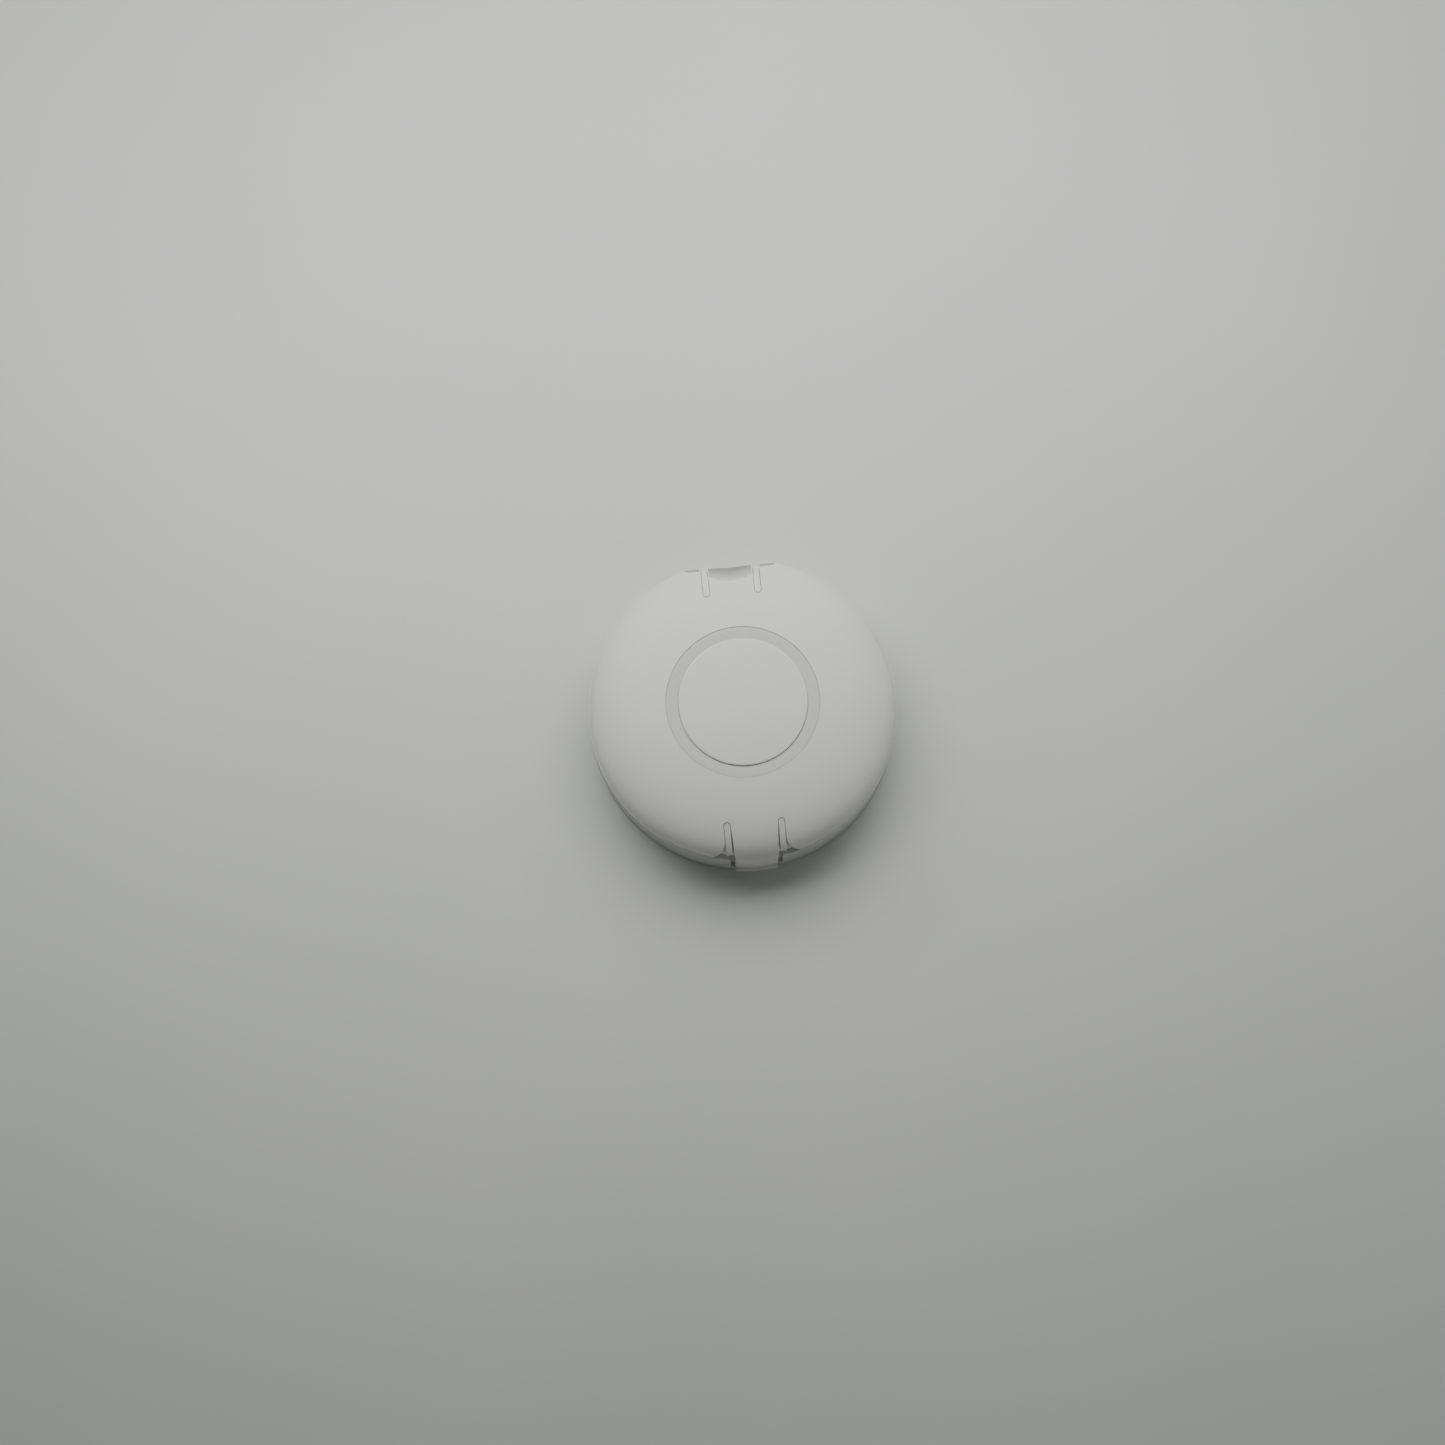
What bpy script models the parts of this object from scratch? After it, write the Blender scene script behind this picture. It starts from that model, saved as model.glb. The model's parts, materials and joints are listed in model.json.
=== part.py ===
"""Compact ceiling access point: a round base tray under a dome cover that hinges at the rear and snaps
at the front, with the radio board, its light ring and the twist-on mounting plate.

Metres, +Z up. The access point lies on its back with the dome up. The origin is the middle of the base's
rim, on the surface it rests on. The hinge is at +Y and the latch tongue at -Y.
"""

import math

import bmesh
import bpy
from mathutils import Matrix, Vector

# Overall shape
COVER_RADIUS = 0.0600
SEAM_Z = 0.0205
DOME_RISE = 0.0170
DOME_POWER = 2.3
COVER_WALL = 0.0020
ROUND_STEPS = 72
GAP = 0.0003

# Light ring and centre disc
RING_OUTER = 0.0298
RING_INNER = 0.0250
RING_RECESS = 0.0006
SHELF_TOP = 0.0340
SHELF_BOTTOM = 0.0326
GUIDE_RADIUS = 0.0274
GUIDE_LEG_RADIUS = 0.0014
GUIDE_LEG_ANGLES = (0, 180, 270)

# Base tray
BASE_RADIUS = 0.0595
BASE_TOP = SEAM_Z - GAP
WALL_INNER = 0.0566
LIP_OUTER = 0.0575
LIP_HEIGHT = 0.0015
FLOOR_BOTTOM = 0.0021
FLOOR_TOP = 0.0039
PLATE_RECESS_RADIUS = 0.0472

# Rear: hinge line and the scoop over it
CHORD_Y = 0.0573
HINGE_Y = 0.0557
HINGE_Z = 0.0176
KNUCKLE_RADIUS = 0.0016
PIN_RADIUS = 0.0006
LEAF_HALF_WIDTH = 0.00875
EAR_OUTER_X = 0.0145
HINGE_RELIEF = 0.0037
SCOOP_RADIUS = 0.0300
SCOOP_WALL = 0.0018
SCOOP_TOP = (0.0494, 0.0314)
REAR_SLOT_X = 0.0101
REAR_SLOT_END = 0.0433

# Front: latch tongue and its slots
SLOT_WIDTH = 0.0027
TONGUE_ROOT_Y = 0.0460
TONGUE_ROOT_HALF = 0.00915
TONGUE_TIP_HALF = 0.00835
FRONT_SLOT_X = 0.0106
SKIRT_CORNER = 0.0044
TONGUE_BOTTOM = 0.0076
TONGUE_INNER = 0.0585
LIP_REACH = 0.0616
LATCH_RECESS_RADIUS = 0.0579
LATCH_RECESS_HALF = 0.0099
LATCH_RECESS_BOTTOM = 0.0065

# Shields that close the relief slots from inside, with ribs that stand in them
SHIELD_INSET = COVER_WALL + GAP
SHIELD_WALL = 0.0008
SHIELD_LOW = 0.0221
SHIELD_HALF = 0.0135
RIB_INSET = 0.0006
RIB_HALF = SLOT_WIDTH / 2 - GAP
REAR_SHIELD_Y = (0.0415, 0.0474)
REAR_RIB_END = 0.0500
FRONT_SHIELD_Y = (-0.0436, -0.0590)

# Mounting plate
PLATE_RADIUS = 0.0455
PLATE_BOTTOM = 0.0
PLATE_TOP = FLOOR_BOTTOM - GAP
STUD_CIRCLE = 0.0380
STUD_ANGLES = (40, 160, 280)
STUD_RADIUS = 0.0013
STUD_HEAD_RADIUS = 0.0025
TWIST_TRAVEL = 20

# Port bay in the floor
BAY_HALF = 0.0125
BAY_FRONT = 0.0095
BAY_REAR = 0.0360
BAY_ROOF = 0.0250
BAY_WALL = 0.0015

# Main board
BOARD_BOTTOM = 0.0090
BOARD_TOP = 0.0104
BOARD_RADIUS = 0.0520
BOARD_SCREWS = ((0.036, 0.028), (-0.036, 0.028), (-0.036, -0.028), (0.036, -0.028))
ON_BOARD = BOARD_TOP + GAP
RESET_AT = (-0.029, 0.004)

# Network jack
JACK_HALF = 0.0080
JACK_BOTTOM = ON_BOARD
JACK_TOP = ON_BOARD + 0.0135
JACK_REAR = -0.0095
JACK_MOUTH = BAY_FRONT - 0.0001
JACK_WALL = 0.0007

# Antennas and their leads: name, place round the board in degrees, side that the lead comes from
ANTENNAS = (
    ("right", 8, -1),
    ("left", 172, 1),
    ("front_right", -68, 1),
    ("front_left", -112, -1),
)
ANTENNA_CIRCLE = 0.0465
SOCKET_CIRCLE = 0.0388

for item in list(bpy.data.objects):
    bpy.data.objects.remove(item, do_unlink=True)


def new_collection(name):
    collection = bpy.data.collections.new(name)
    bpy.context.scene.collection.children.link(collection)
    return collection


PARTS = new_collection("ceiling_access_point")
CUTTERS = new_collection("cutters")


def material(name, colour, roughness, metallic=0.0):
    made = bpy.data.materials.new(name)
    made.use_nodes = True
    shader = made.node_tree.nodes["Principled BSDF"]
    shader.inputs["Base Color"].default_value = (*colour, 1.0)
    shader.inputs["Roughness"].default_value = roughness
    shader.inputs["Metallic"].default_value = metallic
    return made


SHELL = material("white_shell_plastic", (0.83, 0.83, 0.82), 0.55)
LIGHT_GUIDE = material("frosted_light_guide", (0.66, 0.67, 0.68), 0.5)
INNER_PLASTIC = material("inner_white_plastic", (0.75, 0.75, 0.73), 0.6)
BOARD_MASK = material("board_solder_mask", (0.02, 0.12, 0.06), 0.4)
CHIP = material("chip_epoxy", (0.02, 0.02, 0.022), 0.5)
BLACK_PLASTIC = material("black_plastic", (0.025, 0.025, 0.027), 0.45)
TINPLATE = material("tinned_steel", (0.62, 0.62, 0.6), 0.35, 1.0)
STEEL = material("bright_steel", (0.55, 0.55, 0.56), 0.3, 1.0)
ALUMINIUM = material("aluminium", (0.7, 0.71, 0.72), 0.4, 1.0)
BRASS = material("gold_plated_brass", (0.75, 0.55, 0.22), 0.3, 1.0)
PAD_RUBBER = material("thermal_pad_silicone", (0.42, 0.5, 0.62), 0.8)
LEAD_JACKET = material("lead_jacket", (0.06, 0.06, 0.065), 0.5)


# ---------------------------------------------------------------- building blocks


def add_object(name, mesh, finish=None):
    """Link a mesh as a part, or as a cutter where it has no finish."""
    made = bpy.data.objects.new(name, mesh)
    if finish is None:
        CUTTERS.objects.link(made)
        made.hide_render = True
        made.display_type = "WIRE"
    else:
        PARTS.objects.link(made)
        mesh.materials.append(finish)
    return made


def mesh_from(name, build):
    bm = bmesh.new()
    build(bm)
    mesh = bpy.data.meshes.new(name)
    bm.to_mesh(mesh)
    bm.free()
    return mesh


def box(name, low, high, finish=None):
    """A box between two corners."""
    low = Vector(low)
    high = Vector(high)

    def build(bm):
        bmesh.ops.create_cube(bm, size=1.0)
        bmesh.ops.scale(bm, vec=high - low, verts=bm.verts)

    made = add_object(name, mesh_from(name, build), finish)
    made.location = (low + high) / 2
    return made


def cylinder(name, radius, start, end, finish=None, segments=24):
    """A cylinder whose axis runs from start to end."""
    start = Vector(start)
    end = Vector(end)
    along = end - start

    def build(bm):
        bmesh.ops.create_cone(
            bm, cap_ends=True, segments=segments, radius1=radius, radius2=radius, depth=along.length
        )

    made = add_object(name, mesh_from(name, build), finish)
    made.rotation_euler = along.to_track_quat("Z", "Y").to_euler()
    made.location = (start + end) / 2
    smooth(made)
    return made


def smooth(made, angle=35):
    made.data.shade_smooth()
    made.data.set_sharp_from_angle(angle=math.radians(angle))


def turned(name, profile, finish=None, closed=False, steps=ROUND_STEPS):
    """Turn (radius, height) points about Z. They run down the outer side."""
    points = [(radius, 0.0, height) for radius, height in profile]
    edges = [(i, i + 1) for i in range(len(points) - 1)]
    if closed:
        edges.append((len(points) - 1, 0))
    mesh = bpy.data.meshes.new(name)
    mesh.from_pydata(points, edges, [])
    made = add_object(name, mesh, finish)
    screw = made.modifiers.new("turn", "SCREW")
    screw.steps = steps
    screw.render_steps = steps
    screw.use_merge_vertices = True
    screw.merge_threshold = 0.00001
    screw.use_smooth_shade = False
    return made


def prism(name, outline, bottom, top, finish=None):
    """A flat outline in plan, extruded from bottom to top."""
    curve = bpy.data.curves.new(name, "CURVE")
    curve.dimensions = "2D"
    curve.fill_mode = "BOTH"
    curve.extrude = (top - bottom) / 2
    spline = curve.splines.new("POLY")
    spline.points.add(len(outline) - 1)
    for point, (x, y) in zip(spline.points, outline):
        point.co = (x, y, 0.0, 1.0)
    spline.use_cyclic_u = True
    drawn = bpy.data.objects.new(name, curve)
    bpy.context.scene.collection.objects.link(drawn)
    drawn.location.z = (top + bottom) / 2
    return mesh_of_curve(drawn, finish)


def mesh_of_curve(drawn, finish):
    """Replace a curve object with a closed mesh object of the same name and place."""
    bpy.context.view_layer.update()
    evaluated = drawn.evaluated_get(bpy.context.evaluated_depsgraph_get())
    mesh = bpy.data.meshes.new_from_object(evaluated)
    bm = bmesh.new()
    bm.from_mesh(mesh)
    bmesh.ops.remove_doubles(bm, verts=bm.verts, dist=0.000002)
    bmesh.ops.recalc_face_normals(bm, faces=bm.faces)
    bm.to_mesh(mesh)
    bm.free()
    name = drawn.name
    place = drawn.matrix_world.copy()
    bpy.data.objects.remove(drawn, do_unlink=True)
    mesh.materials.clear()
    made = add_object(name, mesh, finish)
    made.matrix_world = place
    return made


def tube(name, points, radius, finish):
    """A round lead along a list of points, with closed ends."""
    curve = bpy.data.curves.new(name, "CURVE")
    curve.dimensions = "3D"
    curve.bevel_depth = radius
    curve.bevel_resolution = 1
    curve.use_fill_caps = True
    spline = curve.splines.new("POLY")
    spline.points.add(len(points) - 1)
    for point, place in zip(spline.points, points):
        point.co = (*place, 1.0)
    drawn = bpy.data.objects.new(name, curve)
    bpy.context.scene.collection.objects.link(drawn)
    made = mesh_of_curve(drawn, finish)
    smooth(made, 50)
    return made


def arc(centre, radius, start, end, steps):
    """Points of an arc in plan, angles in degrees."""
    found = []
    for i in range(steps + 1):
        angle = math.radians(start + (end - start) * i / steps)
        found.append((centre[0] + radius * math.cos(angle), centre[1] + radius * math.sin(angle)))
    return found


def polar(radius, degrees, height=None):
    angle = math.radians(degrees)
    place = (radius * math.cos(angle), radius * math.sin(angle))
    return place if height is None else (*place, height)


def combine(made, other, operation):
    """Apply a Boolean with a cutter object."""
    boolean = made.modifiers.new(other.name, "BOOLEAN")
    boolean.operation = operation
    boolean.object = other
    return made


def cut(made, *others):
    for other in others:
        combine(made, other, "DIFFERENCE")


def join(made, *others):
    for other in others:
        combine(made, other, "UNION")


# ---------------------------------------------------------------- shared shapes


def dome_curve(inset, first, last, steps):
    """Points of the dome's profile, set in by a wall, from one elevation angle to another."""
    radius = COVER_RADIUS - inset
    rise = DOME_RISE - inset
    found = []
    for i in range(steps + 1):
        angle = first + (last - first) * i / steps
        across = radius * math.cos(angle) ** (2 / DOME_POWER)
        up = rise * math.sin(angle) ** (2 / DOME_POWER)
        found.append((across, SEAM_Z + up))
    return found


def dome_angle_at_radius(inset, radius):
    return math.acos((radius / (COVER_RADIUS - inset)) ** (DOME_POWER / 2))


def dome_angle_at_height(inset, height):
    return math.asin(((height - SEAM_Z) / (DOME_RISE - inset)) ** (DOME_POWER / 2))


def dome_height(radius):
    return SEAM_Z + DOME_RISE * (1 - (radius / COVER_RADIUS) ** DOME_POWER) ** (1 / DOME_POWER)


def scoop_cylinder(name, radius):
    """The leaning cylinder that scoops the cover above the hinge. It touches the chord at the seam."""
    top_y, top_z = SCOOP_TOP
    lean = Vector((0.0, top_y - CHORD_Y, top_z - SEAM_Z)).normalized()
    outward = Vector((0.0, lean.z, -lean.y))
    middle = Vector((0.0, CHORD_Y, SEAM_Z)) + outward * SCOOP_RADIUS
    reach = lean * 0.030
    return cylinder(name, radius, middle - reach, middle + reach, segments=96)


def front_slot_outline():
    """Plan of the relief slot at +X: rounded at its root, with the skirt's rounded corner on its outer side."""
    inner = FRONT_SLOT_X - SLOT_WIDTH / 2
    outer = FRONT_SLOT_X + SLOT_WIDTH / 2
    root_y = -TONGUE_ROOT_Y - SLOT_WIDTH / 2
    corner_x = outer + SKIRT_CORNER
    corner_y = -math.sqrt((COVER_RADIUS - SKIRT_CORNER) ** 2 - corner_x**2)
    towards_edge = math.degrees(math.atan2(corner_y, corner_x))
    outline = arc((FRONT_SLOT_X, root_y), SLOT_WIDTH / 2, 0, 180, 8)
    outline.append((inner, -COVER_RADIUS * 1.06))
    outline.append(polar(COVER_RADIUS * 1.06, towards_edge))
    outline += arc((corner_x, corner_y), SKIRT_CORNER, 360 + towards_edge, 180, 8)
    return outline


def mirrored(outline):
    return [(-x, y) for x, y in reversed(outline)]


def rear_slot_outline():
    """Plan of the relief slot beside the hinge leaf at +X."""
    centre = (REAR_SLOT_X, REAR_SLOT_END + SLOT_WIDTH / 2)
    outline = arc(centre, SLOT_WIDTH / 2, 180, 360, 8)
    outline.append((REAR_SLOT_X + SLOT_WIDTH / 2, COVER_RADIUS * 1.06))
    outline.append((REAR_SLOT_X - SLOT_WIDTH / 2, COVER_RADIUS * 1.06))
    return outline


# ---------------------------------------------------------------- cover


def make_cover():
    groove = dome_angle_at_radius(0.0, RING_OUTER)
    profile = [(0.0, SHELF_TOP), (RING_OUTER, SHELF_TOP)]
    profile += dome_curve(0.0, groove, 0.0, 11)
    profile += dome_curve(COVER_WALL, 0.0, dome_angle_at_height(COVER_WALL, SHELF_BOTTOM), 7)
    profile.append((0.0, SHELF_BOTTOM))
    cover = turned("dome_cover", profile, SHELL)

    dome = turned("dome_block", [(0.0, SEAM_Z + DOME_RISE), *dome_curve(0.0, 1.3, 0.0, 12), (0.0, SEAM_Z)])
    backing = scoop_cylinder("scoop_backing", SCOOP_RADIUS + SCOOP_WALL)
    combine(backing, dome, "INTERSECT")
    join(cover, backing)

    web_low = (-LEAF_HALF_WIDTH - 0.002, HINGE_Y - 0.0014, HINGE_Z)
    web_high = (LEAF_HALF_WIDTH + 0.002, CHORD_Y + 0.0005, SEAM_Z + 0.0022)
    join(cover, box("hinge_web", web_low, web_high))
    knuckle_start = (-LEAF_HALF_WIDTH, HINGE_Y, HINGE_Z)
    knuckle_end = (LEAF_HALF_WIDTH, HINGE_Y, HINGE_Z)
    knuckle = cylinder("cover_knuckle", KNUCKLE_RADIUS, knuckle_start, knuckle_end, segments=20)

    cut(cover, scoop_cylinder("scoop", SCOOP_RADIUS))
    cut(cover, box("chord", (-0.03, CHORD_Y, 0.010), (0.03, 0.070, 0.030)))
    slot = rear_slot_outline()
    cut(cover, prism("rear_slot_right", slot, 0.012, 0.040))
    cut(cover, prism("rear_slot_left", mirrored(slot), 0.012, 0.040))
    join(cover, knuckle)
    pin_hole = PIN_RADIUS + GAP
    cut(cover, cylinder("cover_pin_hole", pin_hole, (-0.02, HINGE_Y, HINGE_Z), (0.02, HINGE_Y, HINGE_Z), segments=16))

    slot = front_slot_outline()
    cut(cover, prism("front_slot_right", slot, 0.018, 0.040))
    cut(cover, prism("front_slot_left", mirrored(slot), 0.018, 0.040))
    between = FRONT_SLOT_X - SLOT_WIDTH / 4
    cut(cover, box("tongue_place", (-between, -0.066, 0.018), (between, -TONGUE_ROOT_Y, 0.040)))

    for degrees in GUIDE_LEG_ANGLES:
        hole = GUIDE_LEG_RADIUS + GAP
        low = polar(GUIDE_RADIUS, degrees, SHELF_BOTTOM - 0.002)
        high = polar(GUIDE_RADIUS, degrees, SHELF_TOP + 0.001)
        cut(cover, cylinder(f"guide_hole_{degrees}", hole, low, high, segments=16))
    cut(cover, cylinder("disc_screw_hole", 0.0013, (0, 0, 0.030), (0, 0, 0.036), segments=16))
    return cover


def make_tongue():
    """The cover's snap tongue, down over the base wall to its finger lip. It turns about its root."""
    root = dome_angle_at_radius(0.0, TONGUE_ROOT_Y)
    inner_root = dome_angle_at_radius(COVER_WALL, TONGUE_ROOT_Y)
    profile = dome_curve(0.0, root, 0.0, 8)
    profile.append((COVER_RADIUS, TONGUE_BOTTOM + 0.0016))
    profile.append((LIP_REACH, TONGUE_BOTTOM + 0.0011))
    profile.append((LIP_REACH, TONGUE_BOTTOM))
    profile.append((TONGUE_INNER, TONGUE_BOTTOM))
    profile.append((TONGUE_INNER, SEAM_Z - 0.002))
    profile += dome_curve(COVER_WALL, 0.0, inner_root, 6)
    tongue = turned("latch_tongue", profile, SHELL, closed=True, steps=144)
    root_y = -TONGUE_ROOT_Y - GAP
    tip_y = -0.064
    outline = [
        (-TONGUE_ROOT_HALF, root_y),
        (-TONGUE_TIP_HALF, tip_y),
        (TONGUE_TIP_HALF, tip_y),
        (TONGUE_ROOT_HALF, root_y),
    ]
    combine(tongue, prism("tongue_outline", outline, 0.002, 0.040), "INTERSECT")
    nose_low = (-0.0035, -0.0592, TONGUE_BOTTOM + 0.0034)
    nose_high = (0.0035, -LATCH_RECESS_RADIUS - GAP, TONGUE_BOTTOM + 0.0049)
    join(tongue, box("catch_nose", nose_low, nose_high))
    return tongue


def dome_layer(name, outer_inset, inner_inset, finish=None):
    """A layer of the dome between two insets, down to the shields' lower edge."""
    top = 0.0360
    profile = dome_curve(
        outer_inset,
        dome_angle_at_radius(outer_inset, top),
        dome_angle_at_height(outer_inset, SHIELD_LOW),
        7,
    )
    profile += dome_curve(
        inner_inset,
        dome_angle_at_height(inner_inset, SHIELD_LOW),
        dome_angle_at_radius(inner_inset, top),
        5,
    )
    return turned(name, profile, finish, closed=True)


def rectangle(x_low, x_high, y_low, y_high):
    return [(x_low, y_low), (x_high, y_low), (x_high, y_high), (x_low, y_high)]


def make_slot_shield(name, plate_y, ribs):
    """A thin plate under the slots. Each rib is the plan outline of what stands in one slot."""
    shield = dome_layer(name, SHIELD_INSET, SHIELD_INSET + SHIELD_WALL, SHELL)
    plate = rectangle(-SHIELD_HALF, SHIELD_HALF, min(plate_y), max(plate_y))
    combine(shield, prism(f"{name}_plan", plate, 0.015, 0.045), "INTERSECT")
    for i, outline in enumerate(ribs):
        rib = dome_layer(f"{name}_rib_{i}", RIB_INSET, SHIELD_INSET + SHIELD_WALL / 2)
        combine(rib, prism(f"{name}_rib_plan_{i}", outline, 0.015, 0.045), "INTERSECT")
        join(shield, rib)


def make_slot_shields():
    root_y = -TONGUE_ROOT_Y - SLOT_WIDTH / 2
    rib = arc((FRONT_SLOT_X, root_y), RIB_HALF, 0, 180, 6)
    rib += [(FRONT_SLOT_X - RIB_HALF, -0.0590), (FRONT_SLOT_X + RIB_HALF, -0.0590)]
    make_slot_shield("front_slot_shield", FRONT_SHIELD_Y, (rib, mirrored(rib)))
    end_y = REAR_SLOT_END + SLOT_WIDTH / 2
    rib = arc((REAR_SLOT_X, end_y), RIB_HALF, 180, 360, 6)
    rib += [(REAR_SLOT_X + RIB_HALF, REAR_RIB_END), (REAR_SLOT_X - RIB_HALF, REAR_RIB_END)]
    make_slot_shield("rear_slot_shield", REAR_SHIELD_Y, (rib, mirrored(rib)))


def make_center_disc():
    rim = dome_height(RING_INNER)
    profile = [(0.0, SEAM_Z + DOME_RISE)]
    profile += dome_curve(0.0, 1.35, dome_angle_at_radius(0.0, RING_INNER - 0.0006), 5)
    profile += [
        (RING_INNER, rim - 0.0005),
        (RING_INNER, SHELF_TOP + GAP),
        (RING_INNER - 0.0016, SHELF_TOP + GAP),
        (RING_INNER - 0.0016, SHELF_TOP + 0.0011),
        (0.0035, SHELF_TOP + 0.0016),
        (0.0035, SHELF_TOP + GAP),
        (0.0, SHELF_TOP + GAP),
    ]
    disc = turned("center_disc", profile, SHELL, steps=48)
    cut(disc, cylinder("disc_pilot", 0.0012, (0, 0, 0.030), (0, 0, 0.0362), segments=12))
    return disc


def make_light_ring():
    """The frosted ring, with legs that carry light up from the board."""
    top = dome_height(RING_OUTER) - RING_RECESS
    bottom = SHELF_TOP + GAP
    inner = RING_INNER + GAP
    outer = RING_OUTER - GAP
    ring = turned(
        "light_ring", [(inner, top), (outer, top), (outer, bottom), (inner, bottom)], LIGHT_GUIDE, True, 60
    )
    for degrees in GUIDE_LEG_ANGLES:
        foot = polar(GUIDE_RADIUS, degrees, 0.0125)
        head = polar(GUIDE_RADIUS, degrees, SHELF_TOP + 0.0008)
        join(ring, cylinder(f"guide_leg_{degrees}", GUIDE_LEG_RADIUS, foot, head, segments=16))
    return ring


def make_screw(name, x, y, seat, shank_end, head_radius=0.0022, head_height=0.0015, shank_radius=0.0010):
    """A pan-head screw. The head sits on the seat, and the shank runs to shank_end."""
    up = 1 if seat > shank_end else -1
    head = cylinder(name, head_radius, (x, y, seat), (x, y, seat + up * head_height), STEEL, 16)
    shank = cylinder(f"{name}_shank", shank_radius, (x, y, seat + up * head_height / 2), (x, y, shank_end), segments=12)
    join(head, shank)
    cross = head_radius * 0.6
    blade = 0.0003
    top = seat + up * head_height
    for half_x, half_y in ((cross, blade), (blade, cross)):
        low = (x - half_x, y - half_y, min(top + up * 0.0005, top - up * 0.0006))
        high = (x + half_x, y + half_y, max(top + up * 0.0005, top - up * 0.0006))
        cut(head, box(f"{name}_drive_{half_x > half_y:d}", low, high))
    return head


# ---------------------------------------------------------------- base


def make_base():
    profile = [
        (0.0, FLOOR_TOP),
        (WALL_INNER, FLOOR_TOP),
        (WALL_INNER, BASE_TOP + LIP_HEIGHT),
        (LIP_OUTER, BASE_TOP + LIP_HEIGHT),
        (LIP_OUTER, BASE_TOP),
        (BASE_RADIUS, BASE_TOP),
        (BASE_RADIUS, 0.0006),
        (BASE_RADIUS - 0.0006, 0.0),
        (PLATE_RECESS_RADIUS, 0.0),
        (PLATE_RECESS_RADIUS, FLOOR_BOTTOM),
        (0.0, FLOOR_BOTTOM),
    ]
    base = turned("base_tray", profile, SHELL)
    add_hinge_ears(base)
    add_port_bay(base)
    add_board_posts(base)
    cut_latch_recess(base)
    cut_stud_slots(base)
    x, y = RESET_AT
    cut(base, cylinder("reset_hole", 0.0018, (x, y, 0.0), (x, y, 0.005), segments=16))
    return base


def add_hinge_ears(base):
    block_low = (-0.019, HINGE_Y - 0.0035, 0.0030)
    block_high = (0.019, 0.0580, BASE_TOP - 0.0004)
    join(base, box("hinge_block", block_low, block_high))
    cut(base, box("rear_lip_gap", (-0.07, 0.038, BASE_TOP), (0.07, 0.07, 0.03)))
    relief = (0.0186, HINGE_Y, HINGE_Z)
    cut(base, cylinder("hinge_relief", HINGE_RELIEF, (-relief[0], *relief[1:]), relief, segments=32))
    for side in (-1, 1):
        inner = side * (LEAF_HALF_WIDTH + GAP)
        outer = side * EAR_OUTER_X
        ear = cylinder(
            f"hinge_ear_{side}", KNUCKLE_RADIUS, (inner, HINGE_Y, HINGE_Z), (outer, HINGE_Y, HINGE_Z), segments=20
        )
        foot_low = (min(inner, outer), HINGE_Y - KNUCKLE_RADIUS, 0.0120)
        foot_high = (max(inner, outer), HINGE_Y + KNUCKLE_RADIUS - 0.0002, HINGE_Z)
        join(base, box(f"ear_foot_{side}", foot_low, foot_high), ear)
    pin_hole = PIN_RADIUS + GAP
    cut(base, cylinder("base_pin_hole", pin_hole, (-0.02, HINGE_Y, HINGE_Z), (0.02, HINGE_Y, HINGE_Z), segments=16))
    cut(base, box("base_chord", (-0.03, CHORD_Y - 0.0002, -0.001), (0.03, 0.070, 0.030)))


def add_port_bay(base):
    """A well in the floor, open below, that takes the cable's plug. Its front wall has the jack's window."""
    outer_low = (-BAY_HALF - BAY_WALL, BAY_FRONT - BAY_WALL, FLOOR_BOTTOM + 0.0005)
    outer_high = (BAY_HALF + BAY_WALL, BAY_REAR + BAY_WALL, BAY_ROOF + BAY_WALL)
    join(base, box("bay_walls", outer_low, outer_high))
    cut(base, box("bay_inside", (-BAY_HALF, BAY_FRONT, -0.001), (BAY_HALF, BAY_REAR, BAY_ROOF)))
    window = JACK_HALF + GAP
    window_low = (-window, BAY_FRONT - 0.003, JACK_BOTTOM - 0.0002)
    window_high = (window, BAY_FRONT + 0.001, JACK_TOP + GAP)
    cut(base, box("jack_window", window_low, window_high))


def add_board_posts(base):
    for i, (x, y) in enumerate(BOARD_SCREWS):
        join(base, cylinder(f"board_post_{i}", 0.0030, (x, y, 0.003), (x, y, BOARD_BOTTOM - GAP), segments=20))
        cut(base, cylinder(f"post_bore_{i}", 0.0013, (x, y, 0.0042), (x, y, 0.012), segments=12))


def cut_latch_recess(base):
    half = math.degrees(math.asin(LATCH_RECESS_HALF / LATCH_RECESS_RADIUS))
    outline = arc((0, 0), LATCH_RECESS_RADIUS, 270 - half, 270 + half, 8)
    outline += arc((0, 0), 0.064, 270 + half, 270 - half, 8)
    cut(base, prism("latch_recess", outline, LATCH_RECESS_BOTTOM, BASE_TOP + 0.002))


def cut_stud_slots(base):
    """Three arc slots with a round entry, where the mounting plate's studs twist in."""
    half_width = STUD_RADIUS + 0.00045
    for degrees in STUD_ANGLES:
        last = degrees + TWIST_TRAVEL
        outline = arc((0, 0), STUD_CIRCLE + half_width, degrees, last, 8)
        outline += arc((0, 0), STUD_CIRCLE - half_width, last, degrees, 8)
        cut(base, prism(f"stud_slot_{degrees}", outline, 0.001, 0.005))
        closed_end = polar(STUD_CIRCLE, degrees)
        cut(base, cylinder(f"slot_end_{degrees}", half_width, (*closed_end, 0.001), (*closed_end, 0.005), segments=16))
        entry = polar(STUD_CIRCLE, last)
        cut(base, cylinder(f"slot_entry_{degrees}", 0.0030, (*entry, 0.001), (*entry, 0.005), segments=20))


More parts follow.
